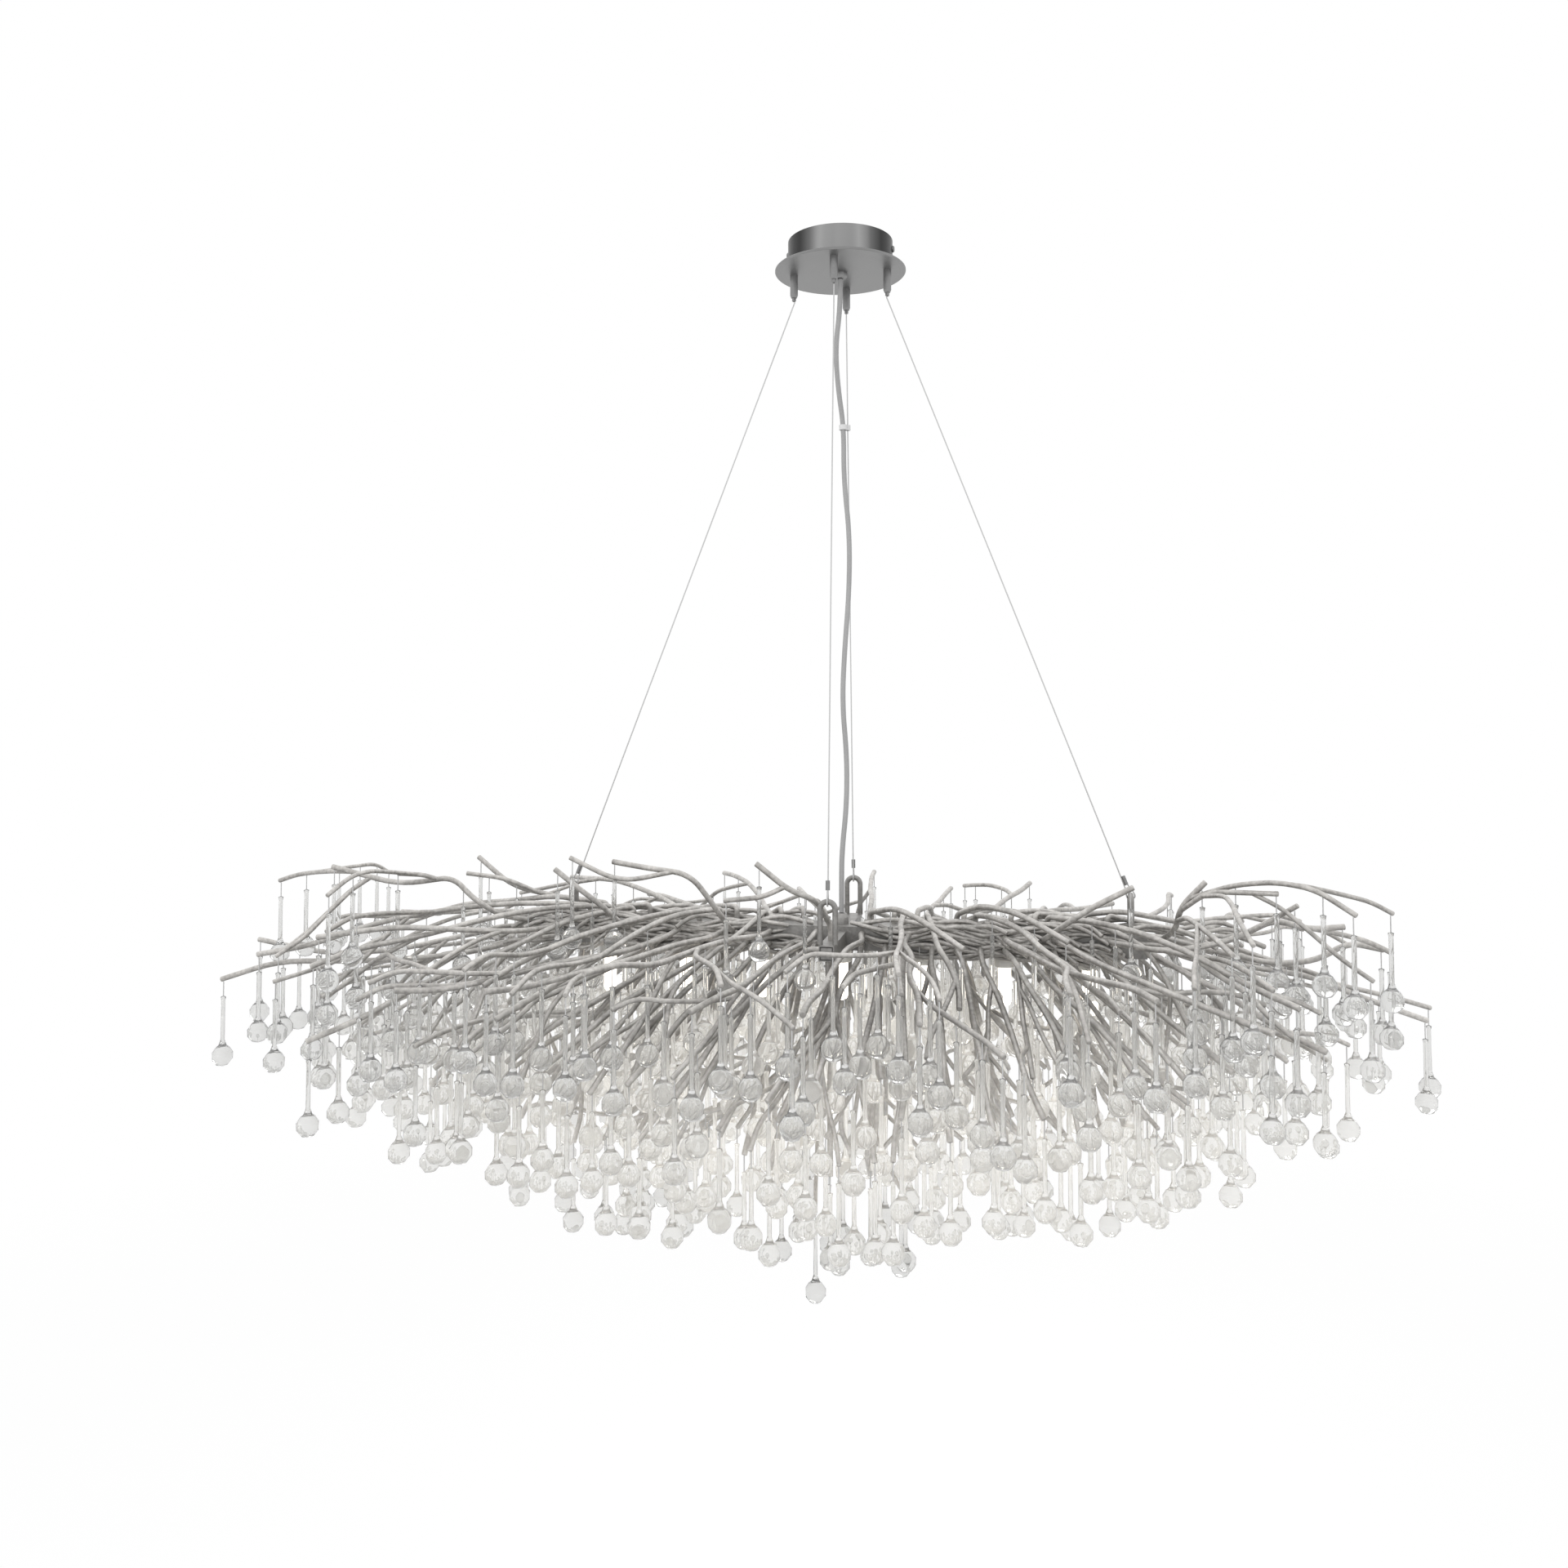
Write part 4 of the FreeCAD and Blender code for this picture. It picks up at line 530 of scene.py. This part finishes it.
plugs = bpy.data.objects.new("crossbar_plugs", mesh)
scene.collection.objects.link(plugs)
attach(plugs, "crown")
print(plugs.name, len(mesh.polygons), "faces")

# %% [markdown]
# ## Pieces that stay as the CAD has them
#
# Small or hidden pieces, and the short wire links that join the drops to the rods, keep their CAD
# mesh and only get a finish. At their size no facet shows, so a copy would add nothing.

# %% Finishes on CAD pieces
SWING_COUNT = 5
SWINGING = range(1, SWING_COUNT + 1)
KEPT = {
    PLATED: ["ceiling_bracket", "gland_nut", "gripper_nuts", "cover_screws"]
    + ["gripper_plunger_" + side for side in WIRES] + ["wire_ferrule_" + side for side in WIRES],
    WHITE_PLASTIC: ["terminal_block", "junction_block"],
    PALE_CLIP: ["cord_clip"],
    CERAMIC: ["lamp_holders"],
    LEADS: ["inner_wiring"],
    STEEL_WIRE: ["links_front", "links_back"] + [f"swing_link_{n}" for n in SWINGING],
}
for material, names in KEPT.items():
    for name in names:
        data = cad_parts[name].data
        data.materials.clear()
        data.materials.append(material)
print("CAD pieces with a finish:", sum(len(names) for names in KEPT.values()))

# %% [markdown]
# ## Glass drops
#
# Each drop is a long neck that swells into a ball, with a small knob on top where the wire holds
# it. It is a turned shape, so one outline with a radius at each height describes it. A Geometry
# Nodes tree sweeps a circle down that outline and sets a copy on every hanging point. The points
# are read from the CAD drops: the highest place of each separate piece.

# %% Where the drops hang


def separate_tops(node):
    """The highest place of each separate solid in a CAD node, in its middle seen from above."""
    work = bmesh.new()
    work.from_mesh(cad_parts[node].data)
    bmesh.ops.remove_doubles(work, verts=work.verts, dist=MERGE)
    work.verts.ensure_lookup_table()
    seen, tops = set(), []
    for start in work.verts:
        if start.index in seen:
            continue
        seen.add(start.index)
        island, edge = [start.co.copy()], [start]
        while edge:
            corner = edge.pop()
            for link in corner.link_edges:
                other = link.other_vert(corner)
                if other.index not in seen:
                    seen.add(other.index)
                    island.append(other.co.copy())
                    edge.append(other)
        spread = np.array([tuple(c) for c in island])
        middle = (spread.min(0) + spread.max(0)) / 2
        tops.append(Vector((middle[0], middle[1], spread[:, 2].max())))
    work.free()
    return tops


DROP_NODES = {name: "crown" for name in
              ["drops_front_left", "drops_front_right", "drops_back_left", "drops_back_right"]}
DROP_NODES.update({f"swing_drop_{n}": f"drop_{n}" for n in SWINGING})
hanging = {node: separate_tops(node) for node in DROP_NODES}
print("drops:", sum(len(tops) for tops in hanging.values()))

# %% [markdown]
# The outline below uses the real sizes of the drop: knob, neck, the hollow curve that leads into
# the ball, and the ball. A few rings of nine sides are enough, because the shape is repeated
# hundreds of times and is shaded smooth.

# %% The drop's outline
BALL, NECK, KNOB, FLARE, DROP_LONG = 0.012, 0.0023, 0.003, 0.0096, 0.080  # radii and length
KNOB_AT, NECK_AT = 0.0012, 0.0052  # depths at which the knob is widest and the neck begins
SWELL_SHARES, BALL_DEGREES, DROP_SIDES = (1.0, 0.66), (50, 16, -20, -56), 9
SWELL = math.sqrt((BALL + FLARE) ** 2 - (NECK + FLARE) ** 2)  # from neck to the ball's middle


def drop_outline():
    """Pairs of depth below the knob's top and radius."""
    middle = DROP_LONG - BALL
    rings = [(0, 0.0), (KNOB_AT, KNOB), (NECK_AT, NECK)]
    for share in SWELL_SHARES:
        up = share * SWELL
        rings.append((middle - up, NECK + FLARE - math.sqrt(FLARE**2 - (SWELL - up) ** 2)))
    for degrees in BALL_DEGREES:
        turn = math.radians(degrees)
        rings.append((middle - BALL * math.sin(turn), BALL * math.cos(turn)))
    return rings + [(DROP_LONG, 0.0)]


def outline_curve(name, rings):
    """A straight curve down Z whose point radii are the outline's."""
    curve = bpy.data.curves.new(name, "CURVE")
    curve.dimensions = "3D"
    spline = curve.splines.new("POLY")
    spline.points.add(len(rings) - 1)
    for point, (depth, radius) in zip(spline.points, rings):
        point.co = (0, 0, -depth, 1)
        point.radius = radius
    piece = bpy.data.objects.new(name, curve)
    scene.collection.objects.link(piece)
    return piece


drop_curve = outline_curve("drop_outline", drop_outline())
print("the swell is", round(SWELL * 1000, 1), "mm long")

# %% [markdown]
# The tree itself is short. It turns the outline into a surface, closes its poles, copies it to
# the points and makes the copies real, because an exported model can't hold instances. Each copy
# gets a turn of its own about its axis, so that neighbours don't mirror the room alike.

# %% A class for Geometry Nodes trees


class Tree:
    """A Geometry Nodes tree while its nodes are being added."""

    def __init__(self, name):
        self.tree = bpy.data.node_groups.new(name, "GeometryNodeTree")
        self.tree.interface.new_socket("Geometry", in_out="INPUT", socket_type="NodeSocketGeometry")
        self.tree.interface.new_socket("Geometry", in_out="OUTPUT",
                                       socket_type="NodeSocketGeometry")
        self.entry = self.tree.nodes.new("NodeGroupInput")
        self.exit = self.tree.nodes.new("NodeGroupOutput")

    def given(self, name, kind, default=None):
        """A named input of the tree."""
        item = self.tree.interface.new_socket(name, in_out="INPUT", socket_type=kind)
        if default is not None:
            item.default_value = default
        return self.entry.outputs[name]

    def add(self, kind, output, inputs=None, **settings):
        node = self.tree.nodes.new(kind)
        for name, value in settings.items():
            setattr(node, name, value)
        for key, value in (inputs or {}).items():
            if isinstance(value, bpy.types.NodeSocket):
                self.tree.links.new(value, node.inputs[key])
            else:
                node.inputs[key].default_value = value
        return node.outputs[output]

    def end(self, geometry, material):
        """Makes copies real, gives them their finish and closes the tree."""
        real = self.add("GeometryNodeRealizeInstances", "Geometry", {"Geometry": geometry})
        smooth = self.add("GeometryNodeSetShadeSmooth", "Geometry", {"Geometry": real})
        done = self.add("GeometryNodeSetMaterial", "Geometry",
                        {"Geometry": smooth, "Material": material})
        self.tree.links.new(done, self.exit.inputs["Geometry"])
        return self.tree


# %% The tree for drops and links
def hanging_tree():
    tree = Tree("turned_pieces_on_points")
    outline = tree.given("Outline", "NodeSocketObject")
    sides = tree.given("Sides", "NodeSocketInt", DROP_SIDES)
    material = tree.given("Material", "NodeSocketMaterial")
    curve = tree.add("GeometryNodeObjectInfo", "Geometry", {"Object": outline})
    circle = tree.add("GeometryNodeCurvePrimitiveCircle", "Curve",
                      {"Resolution": sides, "Radius": 1.0})
    radius = tree.add("GeometryNodeInputRadius", "Radius")
    shell = tree.add("GeometryNodeCurveToMesh", "Mesh",
                     {"Curve": curve, "Profile Curve": circle, "Scale": radius})
    closed = tree.add("GeometryNodeMergeByDistance", "Geometry",
                      {"Geometry": shell, "Distance": 1e-5})
    points = tree.add("GeometryNodeMeshToPoints", "Points", {"Mesh": tree.entry.outputs[0]})
    turn = tree.add("FunctionNodeRandomValue", "Value",
                    {"Min": (0.0, 0.0, 0.0), "Max": (0.0, 0.0, math.tau), "Seed": 3},
                    data_type="FLOAT_VECTOR")
    copies = tree.add("GeometryNodeInstanceOnPoints", "Instances",
                      {"Points": points, "Instance": closed, "Rotation": turn})
    return tree.end(copies, material)


HANGING = hanging_tree()
print("nodes in the hanging tree:", len(HANGING.nodes))

# %% [markdown]
# Running a tree means giving a modifier its inputs by their identifiers, evaluating the object
# and keeping the plain mesh that comes out. A turned shape can come out inside out, so its faces
# are turned to point outwards.

# %% Run a tree on points


def face_outwards(mesh):
    work = bmesh.new()
    work.from_mesh(mesh)
    bmesh.ops.recalc_face_normals(work, faces=work.faces)
    work.to_mesh(mesh)
    work.free()


def grown(name, points, tree, inputs, edges=()):
    """A plain mesh made by a tree from points, and lines between them."""
    cloud = bpy.data.meshes.new(name + "_points")
    cloud.from_pydata([tuple(p) for p in points], edges, [])
    host = bpy.data.objects.new(name + "_points", cloud)
    scene.collection.objects.link(host)
    modifier = host.modifiers.new("tree", "NODES")
    modifier.node_group = tree
    for item in tree.interface.items_tree:
        if item.in_out == "INPUT" and item.name in inputs:
            modifier[item.identifier] = inputs[item.name]
    bpy.context.view_layer.update()
    ready = host.evaluated_get(bpy.context.evaluated_depsgraph_get())
    mesh = bpy.data.meshes.new_from_object(ready)
    mesh.name = name
    bpy.data.objects.remove(host)
    bpy.data.meshes.remove(cloud)
    face_outwards(mesh)
    piece = bpy.data.objects.new(name, mesh)
    scene.collection.objects.link(piece)
    return piece


# %% Hang the glass
DROP_INPUTS = {"Outline": drop_curve, "Sides": DROP_SIDES, "Material": GLASS}
for node, body in DROP_NODES.items():
    glass = grown("glass_" + node, hanging[node], HANGING, DROP_INPUTS)
    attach(glass, body)
    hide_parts(node)
    print(glass.name, len(glass.data.polygons), "faces")

# %% [markdown]
# ## Rods laid along the spine
#
# On the real crown the straight bar hardly shows. Thin rods are laid along both its sides, wavy
# and crossing one another, and welded down before they fan out with the others. Each is a line of
# points with a wave of its own, and a second small tree sweeps them all into round rods.

# %% A tree that sweeps lines


def sweeping_tree():
    tree = Tree("round_rods_along_lines")
    thick = tree.given("Thickness", "NodeSocketFloat", 0.005)
    sides = tree.given("Sides", "NodeSocketInt", 8)
    material = tree.given("Material", "NodeSocketMaterial")
    lines = tree.add("GeometryNodeMeshToCurve", "Curve", {"Mesh": tree.entry.outputs[0]})
    half = tree.add("ShaderNodeMath", "Value", {0: thick, 1: 0.5}, operation="MULTIPLY")
    circle = tree.add("GeometryNodeCurvePrimitiveCircle", "Curve",
                      {"Resolution": sides, "Radius": half})
    rods = tree.add("GeometryNodeCurveToMesh", "Mesh",
                    {"Curve": lines, "Profile Curve": circle, "Fill Caps": True})
    return tree.end(rods, material)


SWEEPING = sweeping_tree()
print("nodes in the sweeping tree:", len(SWEEPING.nodes))

# %% [markdown]
# The rods lie in seven lanes, one above another, on each half of each side. Every rod starts and
# ends at a place of its own. Its first stretch leans in to the weld, the long middle waves up,
# down, in and out, and the last fifth leaves the bar outwards and down.

# %% Measures of the laid rods
BAR_SIDE, BAR_LOW, BAR_HIGH = 0.020, -0.803, -0.777
OVER_BAR = 0.005  # how far the top lane lies above the bar
LAID_THICK, LANES, RODS_PER_LANE, STEP = 0.0050, 7, 4, 0.006
FIRST_START, STARTS = 0.013, 0.225  # where rods start, from the crown's middle
SHORT, LONG = 0.11, 0.22  # lengths
SLOW, FAST = 45, 75  # radians of a wave for each metre
OFF_BAR, WAVE_OUT, WAVE_UP = 0.0035, 0.0030, 0.0045
WELD_IN, WELD_SHARE = 0.006, 0.08  # how far the start leans in, and over which share
LEAVE_OUT, LEAVE_DOWN, LEAVE_SHARE = 0.012, 0.010, 0.2


# %% Lay the rods
def laid_rod(dice, hand, face, lane):
    """Points of one wavy rod on a face of the bar, running away from the crown's middle."""
    start = FIRST_START + STARTS * dice.uniform(0, 1) ** 1.5
    length = dice.uniform(SHORT, LONG)
    count = int(length / STEP)
    lift, swell = dice.uniform(0, math.tau), dice.uniform(0, math.tau)
    pace = dice.uniform(SLOW, FAST)
    height = BAR_LOW + (BAR_HIGH - BAR_LOW + OVER_BAR) * lane / (LANES - 1)
    points = []
    for n in range(count + 1):
        share = n / count
        run = start + share * length
        rise = height + WAVE_UP * math.sin(pace * run + lift)
        away = BAR_SIDE + OFF_BAR + WAVE_OUT * math.sin(1.4 * pace * run + swell)
        away -= WELD_IN * max(0.0, 1 - share / WELD_SHARE)
        past = max(0.0, share - (1 - LEAVE_SHARE)) / LEAVE_SHARE
        away += LEAVE_OUT * past**2
        points.append((hand * run, face * away, rise - LEAVE_DOWN * past**2))
    return points


dice = np.random.default_rng(21)
places, edges = [], []
for hand in (-1, 1):
    for face in (-1, 1):
        for lane in list(range(LANES)) * RODS_PER_LANE:
            route = laid_rod(dice, hand, face, lane)
            edges += [(len(places) + n, len(places) + n + 1) for n in range(len(route) - 1)]
            places += route
laid = grown("rods_along_the_spine", places, SWEEPING,
             {"Thickness": LAID_THICK, "Sides": 8, "Material": NICKEL}, edges)
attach(laid, "crown")
print(laid.name, len(laid.data.polygons), "faces")

# %% [markdown]
# ## Drops along the rods
#
# On the real crown drops hang at every height, not only from the tips: some are tied along the
# level rods and cover the steep ones behind them. Hanging them by hand would take long, so the
# script tries places under the rods at the bar first and then under all others, in a random
# order that is always the same. A row of balls stands for the link and its drop: a place is free
# if none of the balls comes near metal.

# %% Measures of a hanging drop
LINK_LONG, LINK_THIN = 0.016, 0.0006
SPARE = 0.001  # kept free round a drop
DOWNWARD = -0.7  # a surface's upward direction where a link may start
# depths of the balls below the link's top, and their radii
HANG_BALLS = [(0.006, 0.0008), (0.012, 0.0008), (0.019, KNOB), (0.028, NECK), (0.038, NECK),
              (0.048, NECK), (0.058, NECK), (0.066, 0.003), (0.073, 0.008), (0.084, BALL)]


# %% Places under the rods, and the metal to stay clear of
def underside_places(pieces):
    """Corners of rods that face down, as places to hang from."""
    places = []
    for piece in pieces:
        mesh = piece.data
        normals = np.zeros(len(mesh.vertices) * 3)
        mesh.vertices.foreach_get("normal", normals)
        where = np.zeros(len(mesh.vertices) * 3)
        mesh.vertices.foreach_get("co", where)
        down = normals.reshape(-1, 3)[:, 2] < DOWNWARD
        places.append(where.reshape(-1, 3)[down])
    return np.concatenate(places)


def surface_tree(pieces):
    """Many pieces in one tree that finds the nearest surface."""
    corners, faces, start = [], [], 0
    for piece in pieces:
        corners += [v.co.copy() for v in piece.data.vertices]
        faces += [[start + i for i in face.vertices] for face in piece.data.polygons]
        start = len(corners)
    return BVHTree.FromPolygons(corners, faces)


rod_pieces = [bpy.data.objects[node + "_smooth"] for node in RODS]
others = [bpy.data.objects[node + "_smooth"] for node in FRAME_PARTS]
others += [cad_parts[node] for node in ("lamp_holders", "lamp_bulbs", "junction_block")]
metal = surface_tree(rod_pieces + others + [laid])
shuffled = [underside_places([laid]), underside_places(rod_pieces)]
for share in shuffled:
    np.random.default_rng(11).shuffle(share)
candidates = np.concatenate(shuffled)
print("places to try:", len(candidates))

# %% [markdown]
# A new drop also stays clear of the drops that hang already, of the swinging ones at the end of
# their swing, and of the wires and the cord. Hanging points, not shapes, are compared for that,
# by their distance seen from above and their difference in height, because this is quick.

# %% Choose the places
MORE_DROPS, TRIES = 580, 90000
# level distance and height within which another point is too near, where 9 stands for any height
TO_WIRES, TO_SWINGING = (0.022, 9), (0.046, 0.13)
UNDER_ANOTHER, BESIDE_ANOTHER = (0.016, 0.100), (0.0255, 0.034)


def crowded(place, others, room):
    """Is another hanging point within a level distance and a height of this one?"""
    near = np.hypot(others[:, 0] - place[0], others[:, 1] - place[1]) < room[0]
    return bool((near & (abs(others[:, 2] - place[2]) < room[1])).any())


def free_below(place):
    """Do the link and the drop stay clear of all metal?"""
    for depth, radius in HANG_BALLS:
        middle = Vector((place[0], place[1], place[2] - depth))
        if metal.find_nearest(middle, radius + SPARE)[0] is not None:
            return False
    return True


def tops_of(kind):
    """Hanging points of all nodes whose names start with a word."""
    return np.array([top for node, tops in hanging.items() if node.startswith(kind)
                     for top in tops])


swing_tops = tops_of("swing")
hung = np.concatenate([tops_of("drops"), swing_tops]) + (0, 0, LINK_LONG)
wires_at = np.array([(0, 0, 0), (LONG_HANG, 0, 0), (-LONG_HANG, 0, 0),
                     (0, CROSS_HANG, 0), (0, -CROSS_HANG, 0)])
extra = []
for place in candidates[:TRIES]:
    if len(extra) == MORE_DROPS:
        break
    if crowded(place, wires_at, TO_WIRES) or crowded(place, swing_tops, TO_SWINGING):
        continue
    if crowded(place, hung, UNDER_ANOTHER) or crowded(place, hung, BESIDE_ANOTHER):
        continue
    if free_below(place):
        extra.append(place)
        hung = np.vstack([hung, place])
print("drops along the rods:", len(extra))

# %% [markdown]
# The same tree hangs them. A link is a turned piece too, with an outline of two points that reach
# a little into the rod above and the knob below.

# %% Hang the further drops and their links
link_tops = [Vector(place) for place in extra]
drop_tops = [top - Vector((0, 0, LINK_LONG)) for top in link_tops]
glass = grown("glass_along_the_rods", drop_tops, HANGING, DROP_INPUTS)
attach(glass, "crown")
link_curve = outline_curve("link_outline", [(-0.0003, LINK_THIN), (LINK_LONG + 0.001, LINK_THIN)])
links = grown("links_along_the_rods", link_tops, HANGING,
              {"Outline": link_curve, "Sides": 6, "Material": STEEL_WIRE})
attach(links, "crown")
bpy.data.objects.remove(drop_curve)
bpy.data.objects.remove(link_curve)
print(len(glass.data.polygons), "faces of glass")

# %% [markdown]
# ## Lamps
#
# Under the spine sit small capsule lamps in ceramic holders. They are hardly seen between the
# drops, so a smooth copy of the CAD capsule with a glowing skin is enough.

# %% Lamps
lamps = smooth_copy("lamp_bulbs", "crown", LAMP_GLOW)
print(lamps.name, len(lamps.data.polygons), "faces")

# %% [markdown]
# ## Room and light
#
# The picture is a product shot on white. A pale floor far below takes a soft shadow, and the
# surroundings are plain white to the camera, to reflections and to what glass bends. The lamps of
# the studio are large and weak, so that a colour renders about as it is written, and the metal
# doesn't mirror them.

# %% Floor
FLOOR_LEVEL, FLOOR_REACH = -2.3, 14.0
FADE_FROM, FADE_TO = 2.6, 5.0  # distances over which the floor turns from shadow-taking to white
SIGNS = [(-1, -1), (1, -1), (1, 1), (-1, 1)]
corners = [(x * FLOOR_REACH, y * FLOOR_REACH, FLOOR_LEVEL) for x, y in SIGNS]
mesh = bpy.data.meshes.new("floor")
mesh.from_pydata(corners, [], [(0, 1, 2, 3)])
floor = bpy.data.objects.new("floor", mesh)
scene.collection.objects.link(floor)


def seen_share(recipe):
    """1 for rays whose white the viewer sees: straight, reflected or through glass."""
    straight = recipe.add("ShaderNodeLightPath", "Is Camera Ray")
    mirrored = recipe.add("ShaderNodeLightPath", "Is Glossy Ray")
    through = recipe.add("ShaderNodeLightPath", "Is Transmission Ray")
    total = straight + mirrored + through
    return recipe.add("ShaderNodeMath", "Value", {0: total, 1: 1.0}, operation="MINIMUM")


def pale_floor():
    recipe = new_recipe("pale_floor")
    here = recipe.place()
    grain = recipe.noise(here, 3, 2)
    paint = recipe.add("ShaderNodeBsdfDiffuse", "BSDF", {
        "Color": recipe.blend(grain, (0.90, 0.90, 0.90), (0.93, 0.93, 0.93))})
    white = recipe.add("ShaderNodeEmission", "Emission", {"Color": (1, 1, 1, 1), "Strength": 1.0})
    away = recipe.add("ShaderNodeVectorMath", "Value", {0: here}, operation="LENGTH")
    fade = recipe.add("ShaderNodeMapRange", "Result", {
        "Value": away, "From Min": FADE_FROM, "From Max": FADE_TO, "To Min": 0.82, "To Max": 1.0})
    return recipe.end(recipe.add("ShaderNodeMixShader", "Shader",
                                 {0: fade * seen_share(recipe), 1: paint, 2: white}))


floor.data.materials.append(pale_floor())
print("the floor lies", -FLOOR_LEVEL, "m below the ceiling")

# %% White surroundings
ROOM_LIGHT = 0.85
scene.world = bpy.data.worlds.new("white_room")
room = Recipe(scene.world)
strength = ROOM_LIGHT + (1 - ROOM_LIGHT) * seen_share(room)
sky = room.add("ShaderNodeBackground", "Background",
               {"Color": (1, 1, 1, 1), "Strength": strength})
room.end(sky, "ShaderNodeOutputWorld")
print("light of the room:", ROOM_LIGHT)


# %% Lamps of the studio
def soft_lamp(name, place, width, power):
    """A large round lamp that points at the crown."""
    light = bpy.data.lights.new(name, "AREA")
    light.shape = "DISK"
    light.size = width
    light.energy = power
    lamp = bpy.data.objects.new(name, light)
    lamp.location = place
    lamp.rotation_euler = (CROWN_MIDDLE - Vector(place)).to_track_quat("-Z", "Y").to_euler()
    lamp.visible_glossy = False
    scene.collection.objects.link(lamp)


CROWN_MIDDLE = Vector((0, 0, -0.85))
soft_lamp("key_lamp", (-2.2, -2.6, 0.6), 1.6, 46)
soft_lamp("fill_lamp", (2.6, -1.8, -0.2), 1.8, 22)
soft_lamp("rear_lamp", (0.4, 2.8, 0.4), 1.8, 26)
print("lamps of the studio:", len(bpy.data.lights))
scene.view_settings.view_transform = "Standard"
